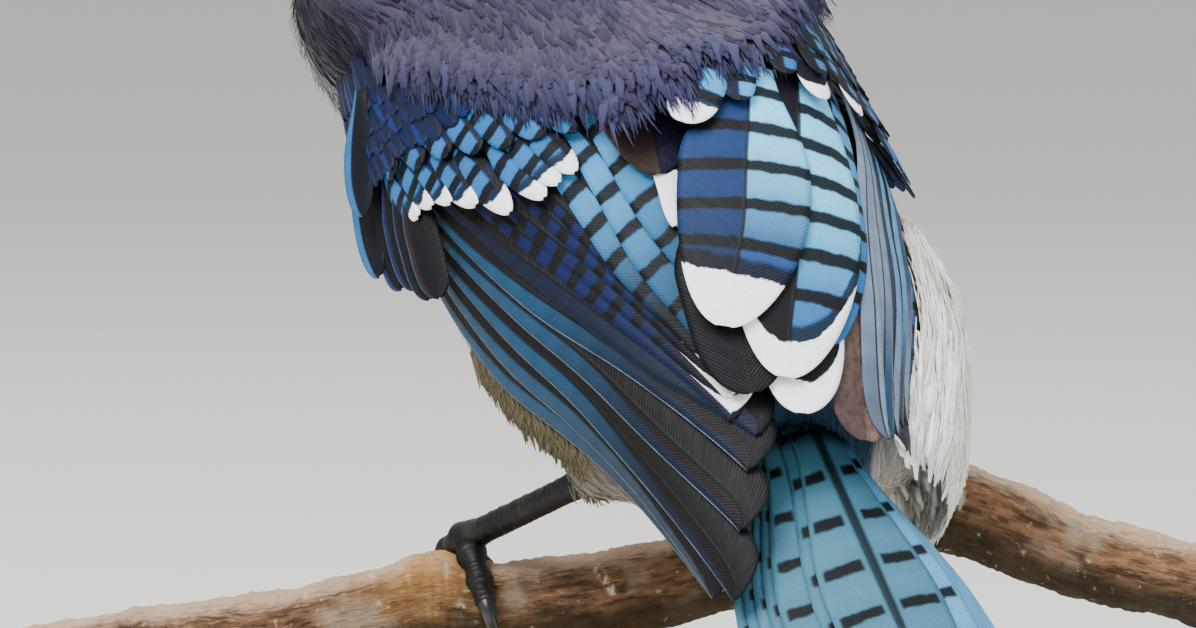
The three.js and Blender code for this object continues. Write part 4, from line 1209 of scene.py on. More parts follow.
def bill_half(upper, steps=44, sides=32):
    """One half of the bill: closed rings from the face to the tip. Half width is 4.6 (1 - t)^0.8 and
    depth 5.2 or 3.6 times (1 - t)^0.62, over a mouth line that curves down; the culmen is
    narrowed to a ridge, and the tip of the upper half hooks a little."""
    t = np.linspace(0, 1, steps) ** 0.85
    length = BILL_LENGTH * (1 if upper else 0.94)
    ahead = BILL_BASE - 1.5 + (length + 1.5) * t
    half = 4.6 * (1 - t) ** 0.8 + 0.3
    depth = (5.2 if upper else 3.6) * (1 - t) ** 0.62 + 0.35
    hook = -0.7 * smooth(0.86, 1, t) if upper else 0 * t
    line = -1.4 - 1.6 * t**2 + (0.1 if upper else -0.1) + hook
    turn = np.linspace(0, 2 * math.pi, sides, endpoint=False)
    cos, sin = np.cos(turn), np.sin(turn)
    over = np.where(sin > 0, sin, sin * 0.12)
    narrow = 1 - 0.28 * np.clip(sin, 0, 1) ** 1.5
    left = half[:, None] * cos * narrow
    up = line[:, None] + (1 if upper else -1) * depth[:, None] * over
    return on_head(ahead[:, None] + 0 * left, left, up)


# Legs, perch and stand

BRANCH_TURN = 152 * DEG
BRANCH_ALONG = np.array([math.cos(BRANCH_TURN), math.sin(BRANCH_TURN), 0])
BRANCH_NEAR = np.array([math.sin(BRANCH_TURN), -math.cos(BRANCH_TURN), 0])
BRANCH_REACH = 105

# Distance along the branch, height from the middle of the body, distance to its near side, radius
BRANCH_ROWS = np.array([
    [-106, -75, -10, 6.4],
    [-90, -72.5, -10.5, 6.8],
    [-60, -69, -11.5, 7],
    [-38, -64.6, -12, 7.7],
    [-24, -64.6, -12, 7],
    [0, -61, -12.5, 7.1],
    [18, -55.5, -13, 7.2],
    [34, -49.5, -13, 7.5],
    [44, -47.8, -13, 7.8],
    [56, -51.5, -13, 7.2],
    [68, -56.6, -12.5, 6.9],
    [84, -60.5, -12, 6.5],
    [106, -66, -11, 5.6],
])


def branch_frame(distance):
    """Middle, up, away and along axes and radius of the branch at distances along it."""
    distance = np.asarray(distance, float)

    def middle_at(place):
        height, near, _ = np.moveaxis(rows_at(BRANCH_ROWS, place), -1, 0)
        lift = np.stack([0 * height, 0 * height, BODY_HEIGHT + height], -1)
        return lift + place[..., None] * BRANCH_ALONG + near[..., None] * BRANCH_NEAR

    along = unit(middle_at(distance + 1) - middle_at(distance - 1))
    up = unit(np.array([0, 0, 1.0]) - along * along[..., 2:])
    return middle_at(distance), up, np.cross(up, along), along, rows_at(BRANCH_ROWS, distance)[..., 2]


def waves(a, b, seed, terms=14, low=0.5, high=3.0):
    """A smooth uneven field on two coordinates: a sum of cosines with seeded waves and phases."""
    rng = np.random.default_rng(seed)
    total = 0
    for _ in range(terms):
        first, second = rng.uniform(low, high, 2) * rng.choice([-1, 1], 2)
        total = total + np.cos(first * a + np.round(second) * b + rng.uniform(0, 2 * math.pi))
    return total / math.sqrt(terms)


def branch_surface(steps=520, sides=100):
    """The branch: rings round its middle line, with a radius that carries long ridges of bark,
    short cracks, a knot by the left foot and a pimple near the right end."""
    distance = np.linspace(-BRANCH_REACH, BRANCH_REACH, steps)
    middle, up, away, _, radius = branch_frame(distance)
    turn = np.linspace(0, 2 * math.pi, sides, endpoint=False)
    d, a = np.meshgrid(distance, turn, indexing="ij")
    broad = 0.25 * np.sin(3 * a + d * 0.13) + 0.2 * np.sin(d * 0.4 + 2 * a)
    ridges = 0.16 * waves(d * 0.16, a, 3, low=1.5, high=9)
    cracks = -0.28 * smooth(0.9, 2.0, waves(d * 0.35, a, 8, low=1, high=7))
    cracks = cracks + 0.1 * waves(d * 0.9, a, 5, low=1, high=6)
    knot = 1.5 * np.exp(-((d + 37) / 4.5) ** 2 - ((a - 1.9) / 0.6) ** 2)
    hollow = -0.9 * np.exp(-((d + 37) / 1.6) ** 2 - ((a - 1.9) / 0.22) ** 2)
    bumps = 0.9 * np.exp(-((d - 87) / 2.2) ** 2 - ((a - 1.3) / 0.5) ** 2)
    bumps = bumps + 0.7 * np.exp(-((d + 62) / 3) ** 2 - ((a - 0.7) / 0.5) ** 2)
    reach = radius[:, None] + broad + ridges + cracks + knot + hollow + bumps
    round_end = 1 - 0.08 * smooth(BRANCH_REACH - 1.0, BRANCH_REACH, np.abs(d))
    reach = reach * round_end
    points = (middle[:, None] + up[:, None] * (np.sin(a) * reach)[..., None]
              + away[:, None] * (np.cos(a) * reach)[..., None])
    # The grain's third value, sin of the turn, is how far up a point faces: the bark paints its light and
    # shade from it
    grain = np.stack([d, a, np.sin(a)], -1).reshape(-1, 3)
    chips = smooth(1.1, 1.9, waves(d * 0.3, a, 21, low=1, high=5)) * (np.sin(a) > 0)
    knotted = np.exp(-((d + 37) / 8) ** 2 - ((a - 1.7) / 1.2) ** 2)
    marks = np.stack([knotted, chips, 0 * chips], -1).reshape(-1, 3)
    return points, grain, marks


def heel_point(leg):
    x, y, drop = leg["heel"]
    return np.array([x, y, BODY_HEIGHT + drop])


def ankle_point(leg):
    middle, up, _, _, radius = branch_frame(np.array([leg["distance"]]))
    return (middle + up * (radius[:, None] + 3))[0]


def tarsus_surface(leg, steps=90, sides=28):
    """The bare shank: a limb whose front carries a row of overlapping scutes, each a small saw
    tooth along its length, with knobbly joints at both ends."""
    t = np.linspace(-0.25, 1, steps)
    path = blend(heel_point(leg), ankle_point(leg), t[:, None])
    radii = 2.15 + 0.45 * (1 - smooth(-0.2, 0.2, t)) + 0.75 * smooth(0.8, 1, t)
    rings = limb(path, radii, sides)
    middle = path[:, None]
    out = unit(rings - middle)
    front = np.clip(-out[..., 1] * 0.8 + 0.2, 0, 1)
    tooth = (t * 11) % 1
    scute = 0.34 * (tooth**1.5)[:, None] * front + 0.1 * np.sin(t * 160)[:, None]
    return rings + out * scute[..., None]


# Three toes to the front and one behind: drift along the branch, turn round it in degrees, radius
TOES = ((-7, 105, 1.8), (0.5, 128, 2.0), (7, 108, 1.8), (6, -112, 2.1))
TOE_CLEARANCE = 0.35


def toe_path(leg, lean, wrap, radius, steps, start=0.0, end=1.0):
    """Middle line of a toe round the branch: it turns by wrap degrees and drifts by lean along it."""
    t = np.linspace(start, end, steps)
    middle, up, away, _, thick = branch_frame(leg["distance"] + lean * t)
    turn = wrap * DEG * t
    lift = thick + TOE_CLEARANCE + radius
    return t, (middle + up * (np.cos(turn) * lift)[:, None] + away * (np.sin(turn) * lift)[:, None])


def toe_surface(leg, toe, steps=80, sides=20):
    """A toe of pads and scutes that follows the branch: its radius swells at each joint."""
    lean, wrap, radius = toe
    t, path = toe_path(leg, lean, wrap, radius, steps, 0, 0.78)
    pads = 1 + 0.16 * np.cos(t * 24) + 0.14 * ((t * 26) % 1)
    radii = radius * pads * (1 - 0.25 * t) * np.sqrt(1 - 0.9 * smooth(0.7, 0.78, t))
    return limb(path, radii, sides)


def claw_surface(leg, toe, steps=36, sides=16):
    """A claw: it leaves the end of the toe, arches clear of the bark, and curves in to a point."""
    lean, wrap, radius = toe
    t, path = toe_path(leg, lean, wrap, radius, steps, 0.7, 1.04)
    share = (t - 0.7) / 0.34
    centre = branch_frame(leg["distance"] + lean * t)[0]
    arch = 1.3 * np.sin(share * math.pi) - 0.5 * share**2
    path = path + unit(path - centre) * arch[:, None]
    return limb(path, (radius * 0.72) * (1 - share) ** 0.75 + 0.1, sides)


BASE_RADIUS = 66
BASE_HEIGHT = 11
ROD_RADIUS = 2.4
ROD_PLACES = {"left": -18, "right": 30}

# Collar at a rod's foot: radius, height over the base
COLLAR = np.array([[4.2, 0.3], [4.2, 1.6], [3.4, 2.4]])


def turned(profile, sides):
    """A profile of radius and height turned about the Z axis."""
    turn = np.linspace(0, 2 * math.pi, sides, endpoint=False)
    return np.stack([profile[:, :1] * np.cos(turn), profile[:, :1] * np.sin(turn),
                     np.broadcast_to(profile[:, 1:], (len(profile), sides))], -1)


# Operators

class JaySizes(bpy.types.PropertyGroup):
    """How dense and how loose the plumage is."""

    contour_share: bpy.props.FloatProperty(
        name="Body feathers", description="Share of the skin's points that carry a body feather",
        default=0.28, min=0.05, max=1, subtype="FACTOR")
    barb_share: bpy.props.FloatProperty(
        name="Loose barbs", description="Share of the skin's points that carry a fine loose barb",
        default=0.85, min=0.05, max=1, subtype="FACTOR")
    fluff_length: bpy.props.FloatProperty(
        name="Flank fluff", description="Length of the loose flank feathers",
        default=0.017, min=0.005, max=0.03, unit="LENGTH")
    floor_colour: bpy.props.FloatVectorProperty(
        name="Floor", description="Colour of the studio floor", default=colour(222, 222, 218),
        subtype="COLOR")


SKIN = {}


class JAY_OT_skin(bpy.types.Operator):
    """Grow one skin over torso, neck, head and upper legs"""

    bl_idname = "jay.skin"
    bl_label = "Skin"

    def execute(self, context):
        groups = [body_tube(), head_tube()]
        for leg in LEGS.values():
            bulge = on_bird(*leg["bulge"])
            groups.append(ball(bulge, BODY_AXES, np.array(leg["radii"]) - COAT_DEPTH))
            ends = blend(heel_point(leg), ankle_point(leg), np.array([[-0.45], [-0.1], [0.03]]))
            groups.append(limb(smooth_path(ends, 14), np.linspace(6.5, 2.6, 14), 16))
        skin, points, normals = grow_skin("skin", groups, skin_finish())
        add_tint(skin, points)
        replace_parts(skin, "torso", "neck", "head", "thigh_left", "thigh_right")
        SKIN.update(points=points, normals=normals)
        return {"FINISHED"}


# Share of the coat that is kept under the wings and the mantle, with the reach of each: angle from
# and to, place along from and to
COVERED = ((0.25, 48, 92, -44, 12), (0.05, -1, 84, -4, 44))
BARE_EYE = 4.9
BARE_BILL = 5.6
BARB_WIDTH = 0.4
MOST_BARBS = 17000
THIN = 0.14


class JAY_OT_coat(bpy.types.Operator):
    """Lay body feathers and loose barbs over the skin"""

    bl_idname = "jay.coat"
    bl_label = "Coat"

    def execute(self, context):
        sizes = context.scene.jay
        points, normals = SKIN["points"], SKIN["normals"]
        rng = np.random.default_rng(11)
        along = off_bird(points)[1]
        angle = np.degrees(body_angle(points))
        away = np.linalg.norm(points - HEAD_MIDDLE, axis=1)
        head = away < HEAD_REACH
        near_eye = np.minimum(*(np.linalg.norm(points - eye_centre(side), axis=1) for side in (1, -1)))
        near_bill = np.linalg.norm(points - on_head(BILL_BASE + 4, 0, -2), axis=1)
        bare = (near_eye < BARE_EYE) | (near_bill < BARE_BILL)
        finish = plumage_finish()
        lie = lie_of(points, normals)
        lie = unit(pressed(lie + rng.normal(0, 0.08, lie.shape), normals))
        covered = np.ones(len(points))
        for share, low, high, back, front in COVERED:
            there = (np.abs(angle) > low) & (np.abs(angle) < high) & (along > back) & (along < front)
            covered = np.where(there, share, covered)
        body = ~head & ~bare & (rng.random(len(points)) < covered)
        size = blend(0.55, 1.0, smooth(24, 44, away)) * blend(0.85, 1.15, smooth(100, 130, np.abs(angle)))
        size = size * (1 - 0.6 * (1 - smooth(-54, -36, along)) * (angle < -40))
        for leg in LEGS.values():
            near_heel = np.linalg.norm(points - heel_point(leg), axis=1)
            size = size * blend(0.32, 1.0, smooth(9, 24, near_heel))
        keep = body & (rng.random(len(points)) < sizes.contour_share)
        put_coat("body_feathers", finish, points[keep], normals[keep], lie[keep], 10.0 * size[keep],
                 5.2 * size[keep], 0.1, 41, shape=(4, 3), sink=1.0, thickness=THIN)
        count = int(MOST_BARBS * sizes.barb_share)
        index = rng.choice(np.nonzero(body)[0], count)
        shift = pressed(rng.normal(0, 0.7, (count, 3)), normals[index])
        put_coat("body_barbs", finish, points[index] + shift, normals[index], lie[index],
                 8.0 * size[index] * rng.uniform(0.7, 1.2, count), BARB_WIDTH, 0.14, 42, shape=(3, 2),
                 sink=0.0, thickness=THIN)
        face = head & ~bare
        near = blend(0.55, 1.0, smooth(4.5, 14, near_eye)) * blend(0.6, 1.0, smooth(7, 14, near_bill))
        for name, share, length, width, rise, seed, shape, sink in (
                ("head_feathers", 0.75, 4.6, 2.3 * near, 0.3, 43, (4, 3), 0.4),
                ("head_barbs", 0.95, 4.2, BARB_WIDTH + 0 * near, 0.32, 44, (3, 2), 0.1)):
            keep = face & (rng.random(len(points)) < share)
            put_coat(name, finish, points[keep], normals[keep], lie[keep], length * near[keep], width[keep],
                     rise, seed, shape=shape, sink=sink, bend=18, thickness=THIN)
        return {"FINISHED"}


MANTLE_FRONT = 56

# Lower edge of the mantle over each wing: angle, place
MANTLE_EDGE = {
    1: np.array([[16, -15.5], [23.8, -13.5], [30.9, -11.4], [41.8, -5.4], [52.3, 2.5], [62.4, 10.4],
                 [73.9, 19.7], [89.5, 32], [104, 40]]),
    -1: np.array([[-32, -17], [-25.3, -15.2], [-18.7, -11], [-11.7, -10.1], [3.4, -9.8], [8.5, -4.1],
                  [17, 2.9], [26, 10],
                  [40, 17], [62, 27], [90, 37], [104, 42]]),
}


def on_body(side, along, angle, lift):
    """Point over the torso and neck from a place along the body, an angle from the middle of the
    back towards one side in degrees, and a lift."""
    x, dorsal, half_width, half_depth = np.moveaxis(rows_at(BODY_ROWS, along), -1, 0)
    turn = side * np.asarray(angle) * DEG
    return on_bird(x + (half_width + lift) * np.sin(turn), along,
                   dorsal + (half_depth + lift) * np.cos(turn))


def mantle_place(side, along, angle):
    """Point of the mantle's outer surface: it rides over the coverts at its lower edge, lower at its
    outer ends, and runs into the body's own surface further ahead."""
    edge = rows_at(MANTLE_EDGE[side], angle)[..., 0]
    top = 8.6 if side < 0 else 7.9 + 6.9 * (1 - smooth(18, 46, angle))
    over = on_wing(side, along, angle, top * (1 - 0.75 * smooth(66, 102, angle)))
    share = smooth(edge + 6, edge + 31, along)
    return blend(over, on_body(side, along, angle, 0.2 - 1.6 * smooth(44, 56, along)), share[..., None])


class JAY_OT_mantle(bpy.types.Operator):
    """Lay the mantle's hair-fine feathers over the roots of both wings"""

    bl_idname = "jay.mantle"
    bl_label = "Mantle"

    def execute(self, context):
        finish = plumage_finish()
        for name, side in (("left", 1), ("right", -1)):
            rng = np.random.default_rng(90 + side)
            low, high = MANTLE_EDGE[side][0, 0], MANTLE_EDGE[side][-1, 0]
            for kind, count, length, width, inset, sink, rise in (
                    ("vanes", 2600, 9.5, 1.8, 3.4, 0.9, 0.0),
                    ("barbs", 9800, 8.5, BARB_WIDTH, 0.8, 0.1, 0.05)):
                angle = rng.uniform(low, high, count)
                edge = rows_at(MANTLE_EDGE[side], angle)[:, 0]
                ahead = length * 0.9 + inset + np.abs(rng.normal(0, 1.2, count))
                along = edge + ahead + (MANTLE_FRONT - edge - ahead) * rng.random(count)
                roots = mantle_place(side, along, angle)
                lie = unit(mantle_place(side, along - 4, angle) - roots)
                round_it = unit(mantle_place(side, along, angle + 2) - roots)
                out = unit(np.cross(lie, round_it)) * side
                size = rng.uniform(0.8, 1.1, count)
                run = length * size[:, None] * np.linspace(0, 1, 3)
                drift = angle[:, None] + run * rng.normal(0, 0.13, (count, 1))
                path = mantle_place(side, along[:, None] - run, drift)
                low_part = 1 - smooth(8, 20, along - edge)
                # Painted shade: tufts towards the neck and the shoulders' sides are darkened with the
                # mantle's shade colour
                neck_painted_shade = smooth(30, 44, along) * smooth(74, 96, angle)
                tint = blend(body_tint(roots, 91), np.array(MARKS["mantle_low"]),
                             (low_part * 0.75)[:, None])
                tint = blend(tint, np.array(MARKS["mantle_painted_shade"]), neck_painted_shade[:, None] * 0.8)
                tint = tint * rng.normal(1.0, 0.08 if kind == "vanes" else 0.22, (count, 1)).clip(0.5, 1.7)
                for piece in put_coat(f"mantle_{kind}_{name}", finish, roots, out, lie, length * size,
                                      width * size, rise, 92,
                                      shape=(3, 2), tint=tint, sink=sink, thickness=0.1, camber=0.0,
                                      path=path):
                    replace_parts(piece, "torso")
        return {"FINISHED"}


# Inner edge of the white flank over the right wing: place, angle
FLUFF_EDGE = np.array([
    [-70, 22], [-64, 24], [-53, 31], [-40, 41], [-30, 45], [-20, 48], [-12, 56], [-5, 70],
])
FLUFF_REACH = (-62, -6)
FLUFF_LOW = 118
FRINGE_REACH = (-46, -16)
FRINGE_TUFTS = 1000


class JAY_OT_flanks(bpy.types.Operator):
    """Fluff out the long loose feathers of the flanks over the edges of the wings"""

    bl_idname = "jay.flanks"
    bl_label = "Flank fluff"

    def execute(self, context):
        rng = np.random.default_rng(17)
        length = context.scene.jay.fluff_length / MM
        finish = plumage_finish()
        count = FRINGE_TUFTS
        place = rng.uniform(*FRINGE_REACH, count)
        turn = np.interp(place, [-57, -29, 4], [89.5, 96.5, 98]) + rng.uniform(-1, 6, count)
        roots = on_wing(1, place, turn, 1.2)
        out = unit(roots - on_bird(0, place, -4.0))
        around = unit(on_wing(1, place, turn + 2, 1.2) - roots)
        lie = unit(-BODY_AHEAD + 0.3 * around + rng.normal(0, 0.16, roots.shape))
        lie = unit(pressed(lie, out))
        # The fringe's tufts take its brownish grey, darkened to olive as painted shade
        tint = np.array(MARKS["fringe_painted_shade"]) * rng.uniform(0.7, 1.15, (count, 1))
        for piece in put_coat("fringe_left", finish, roots, out, lie,
                              0.36 * length * rng.uniform(0.5, 1.0, count),
                              rng.choice([0.4, 1.4], count), 0.0, 51, shape=(4, 2), tint=tint, bend=60,
                              sink=0.2,
                              thickness=0.16):
            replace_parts(piece, "torso")
        for kind, count, width, rise in (("under", 1000, 3.6, 0.0), ("over", 6200, BARB_WIDTH, 0.1)):
            place = rng.uniform(*FLUFF_REACH, count)
            inner = rows_at(FLUFF_EDGE, place)[:, 0] + np.abs(rng.normal(0, 2.5, count))
            turn = inner + (FLUFF_LOW - inner) * rng.random(count)
            rounded = np.sin(np.clip((turn - inner) / 26, 0, 1) * math.pi / 2)
            size = rng.uniform(0.5, 0.85, count) * (0.5 + 0.5 * smooth(-60, -42, place))
            run = length * size[:, None] * np.linspace(0, 1, 3)
            spot = place[:, None] - run
            lift = 2.5 + 5.2 * rounded[:, None] * smooth(-74, -60, spot) * (1 - 0.6 * smooth(-18, -6, spot))
            lift = lift - 4.5 * smooth(88, 116, turn)[:, None]
            path = on_wing(-1, spot, turn[:, None] + run * rng.normal(0.25, 0.5, (count, 1)), lift)
            out = unit(path[:, 0] - on_bird(0, place, -4.0))
            lie = unit(path[:, -1] - path[:, 0])
            lie = unit(pressed(lie, out))
            tint = np.array(MARKS["white"]) * rng.uniform(0.92, 1.0, (count, 1))
            for piece in put_coat(f"fluff_{kind}", finish, path[:, 0], out, lie, length * size,
                                  width * rng.uniform(0.8, 1.2, count),
                                  rise, 52, shape=(3, 2), tint=tint, sink=0.3, thickness=THIN, camber=0.0,
                                  path=path):
                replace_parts(piece, "torso")
        return {"FINISHED"}


LESSER_ROWS = (15, 16, 17, 18, 18)


def wing_groups(side):
    """The feather groups of one wing, from the outermost flight feathers to the smallest coverts:
    name, lines, half widths, lowest lift, lift from one feather to the next, tilt, rings and places,
    tip's start and power, lean, shaft's place, finish and look."""
    left = side > 0
    groups = []

    def add(name, lines, half, level, step, grid, tip, finish, look, tilt=0.07, lean=0.0, shaft=0.0):
        groups.append((name, lines, half, level, step, grid, tip, finish, look, tilt, lean, shaft))

    if not left:
        add("primaries", flight_lines(0, 9.5, 1.1), 5.4, 2.0, 0.2, (26, 9), (0.8, 2.4), "primary",
            {"outer": "teal", "far": "strip", "inner": "soot"}, shaft=0.3)
        add("secondaries", flight_lines(9.5, 12.8, 0.8), 6.5, 2.8, 0.2, (26, 9), (0.8, 2.4), "barred",
            {"outer": "deep", "far": "azure", "inner": "navy", "bars": (5.2, 0.42, 6.0), "tip": 0.6},
            shaft=0.2)
        add("outer_edges", RIGHT_STRIPS, [3.2, 3.2, 3.2, 3.2, 2.1], 4.2, 0.3, (30, 9), (0.86, 2.2), "edge",
            {"outer": ["lavender", "steel", "lavender", "strip", "lavender"],
             "far": ["strip", "pale_blue", "pale_blue", "lavender", "lavender"],
             "inner": ["steel", "soot", "steel", "lavender", "lavender"]}, lean=1.0, shaft=0.3)
        add("brown_tip", RIGHT_UNDER[2:], 6.6, 4.6, 0.0, (30, 13), (0.62, 2.6), "worn",
            {"outer": "dun", "far": "pale_blue", "inner": "dun"})
        add("dark_tips", RIGHT_UNDER[:2], [6.8, 7.6], 4.9, 0.4, (30, 13), (0.6, 2.4), "barred",
            {"outer": "ink", "far": "navy", "inner": "ink", "tip": [5.2, -3.0], "follow": [0.9, 0.0]})
        add("tertials", RIGHT_TERTIALS, [6.4, 11.0, 10.6], 5.4, 0.9, (40, 19), (0.46, 2.0), "barred",
            {"outer": ["azure", "azure", "royal"], "far": ["cyan", "sky", "sky"],
             "inner": ["navy", "plum", "cobalt"],
             "bars": [(6.3, 0.34, 9.0), (7.3, 0.34, 14.2), (7.5, 0.3, 14.4)], "tip": [-3.0, 5.8, 9.0],
             "follow": [0.0, 0.7, 0.05], "slant": -0.06}, tilt=0.03)
        add("inner_coverts", RIGHT_COVERTS, [3.4, 3.2, 3.0, 4.4], 8.0, 0.1, (18, 9), (0.55, 2.8), "covert",
            {"outer": ["azure", "royal", "cyan", "cyan"], "far": ["azure", "azure", "sky", "sky"],
             "inner": ["navy", "navy", "deep", "deep"],
             "bars": [(4.4, 0.45, 4.6), (4.4, 0.45, 4.6), (4.6, 0.4, 0.3), (7.0, 0.3, 6.4)],
             "tip": [3.0, 3.0, -3.0, 4.3],
             "follow": [0.4, 0.4, 0.0, 0.1]}, tilt=0.05)
        add("inner_small_coverts", RIGHT_SMALL, 2.7, 8.3, 0.1, (14, 7), (0.5, 2.8), "covert",
            {"outer": "azure", "far": "sky", "inner": "navy", "bars": (4.0, 0.42, 0.6)}, tilt=0.05)
    else:
        add("primaries", LEFT_PRIMARIES, 4.8, 2.6, 0.3, (34, 9), (0.9, 2.0), "primary",
            {"outer": ["steel", "steel", "slate", "slate", "slate"],
             "far": ["teal", "strip", "teal", "strip", "teal"],
             "inner": "soot"}, lean=1.0, shaft=0.3)
        # Painted shade: the left secondaries' blue outer webs are painted slate, navy and ink
        add("secondaries", LEFT_SECONDARIES, [4.6, 4.2, 4.2, 4.2, 4.2], 4.1, 0.3, (30, 9), (0.86, 2.6),
            "secondary",
            {"outer": ["slate", "slate", "navy", "ink", "ink"],
             "far": ["slate", "deep", "deep", "deep", "deep"],
             "inner": ["soot", "navy", "ink", "ink", "ink"],
             "bars": [(4.8, -0.3, 8.0), (4.8, 0.4, 30.0), (4.8, 0.45, 20.0), (4.8, 0.5, 10.0),
                      (4.8, 0.5, 8.0)],
             "tip": [-3.0, -3.0, 3.4, 3.8, 3.2], "follow": 0.7, "slant": 0.16}, lean=1.0, shaft=0.3)
        add("tertials", LEFT_TERTIALS, [4.8, 5.4, 6.0], 5.6, 0.45, (34, 11), (0.72, 2.4), "barred",
            {"outer": ["navy", "teal", "teal"], "far": ["cyan", "cyan", "cyan"], "inner": "ink",
             "bars": [(7.2, 0.32, 9.0), (7.8, 0.28, 5.0), (7.6, 0.28, 4.8)], "slant": 0.24}, lean=1.0,
             shaft=0.0)
        add("inner_tertials", LEFT_TERTIAL_TOP, [7.6, 3.0], 7.4, -0.3, (26, 13), (0.3, 1.7), "worn",
            {"outer": ["umber", "azure"], "far": ["umber", "azure"], "inner": ["deep", "deep"],
             "tip": [-3.0, 10.0]})
    add("greater_coverts", GREATER_COVERTS, 2.7, 6.4, 0.06, (20, 9), (0.55, 1.9), "covert",
        {"outer": "azure", "far": "azure", "inner": "deep", "bars": (4.6, 0.4, 6.2),
         "tip": [2.4, 2.8, 2.6, 3.0, 3.8, 3.2, 2.8, 3.0] if left else -3.0, "follow": 0.25, "slant": 0.1},
        tilt=0.08, shaft=-0.35)
    add("median_coverts", MEDIAN_COVERTS, 2.6, 6.9, 0.06, (16, 9), (0.5, 2.6), "covert",
        {"outer": "azure", "far": "azure", "inner": "deep",
         "bars": (4.4, 0.38, 0.6), "slant": 0.1}, tilt=0.08, shaft=-0.35)
    rng = np.random.default_rng(60 + side)
    rows, halves = [], []
    for row, count in enumerate(LESSER_ROWS):
        for k in range(count):
            share = (k + rng.uniform(0.3, 0.7)) / count
            along = blend(15, 4, share) + 4.4 * row + rng.normal(0, 0.4)
            angle = blend(97, 36, share) + 1.5 * row + rng.normal(0, 0.6)
            half = rng.uniform(1.9, 2.3)
            if along < rows_at(MANTLE_EDGE[side], angle)[0] + 1 and (left or angle < 90):
                steps = ((9, 4), (6, 2.6), (3, 1.2), (0, 0))
                rows.append([part for back, turn in steps for part in (along + back, angle + turn)])
                halves.append(half)
    add("lesser_coverts", rows, halves, 7.2, -0.012, (10, 5), (0.4, 2.8), "covert",
        {"outer": [("royal", "violet", "deep")[k % 3] for k in range(len(rows))], "far": "royal",
         "inner": "violet",
         "shade": 0.9}, tilt=0.08)
    add("primary_coverts", PRIMARY_COVERTS, 2.9, 5.6, 0.25, (22, 9), (0.66, 2.6), "quiet",
        {"outer": ["royal", "deep", "soot", "umber"], "far": "deep",
         "inner": ["ink", "soot", "soot", "soot"]},
        tilt=0.45, shaft=0.55)
    add("alula", ALULA, [3.0, 3.2], 8.4, -1.2, (24, 9), (0.6, 2.6), "quiet",
        {"outer": "azure", "far": "azure", "inner": "navy"}, tilt=0.5, shaft=0.3)
    return groups


ROOT_SINK = 0.8


class JAY_OT_wings(bpy.types.Operator):
    """Build both folded wings: coverts in rows, flight feathers and tertials"""

    bl_idname = "jay.wings"
    bl_label = "Wings"

    def execute(self, context):
        finishes = {
            "primary": plume_finish("primary_plume", rim=colour(112, 134, 156), rim_from=0.94, narrow=2.0,
                                    fade=(22.0, 62.0),
                                    line=0.42),
            "edge": plume_finish("edge_plume", rim=colour(150, 170, 200), rim_from=0.94, line=0.2),
            "secondary": plume_finish("secondary_plume", rim=colour(34, 56, 92), rim_from=0.96),
            "barred": plume_finish("barred_plume", line=0.3, fade=(8.0, 42.0)),
            "worn": plume_finish("worn_plume", rim=colour(92, 66, 54), rim_from=0.95, mottle=0.6, line=0.0),
            "covert": plume_finish("covert_plume", line=0.0, band=1.2),
            "quiet": plume_finish("quiet_plume", rim=colour(60, 104, 150), rim_from=0.92),
        }
        for name, side in (("left", 1), ("right", -1)):
            for number, group in enumerate(wing_groups(side)):
                kind, rows, half, level, step, grid, tip, finish, look, tilt, lean, shaft = group
                along, angle = lined(rows, grid[0])
                lift = level + step * np.arange(len(along))[:, None] - ROOT_SINK * (1 - from_root(grid[0]))
                surface = chart_feathers(side, along, angle, half, lift, tilt, grid[1], *tip, lean)
                piece = put_feathers(f"{kind}_{name}", surface, np.broadcast_to(half, len(along)),
                                     finishes[finish], look,
                                     number, 0.28, *tip, shaft)
                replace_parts(piece, f"wing_{name}")
        return {"FINISHED"}


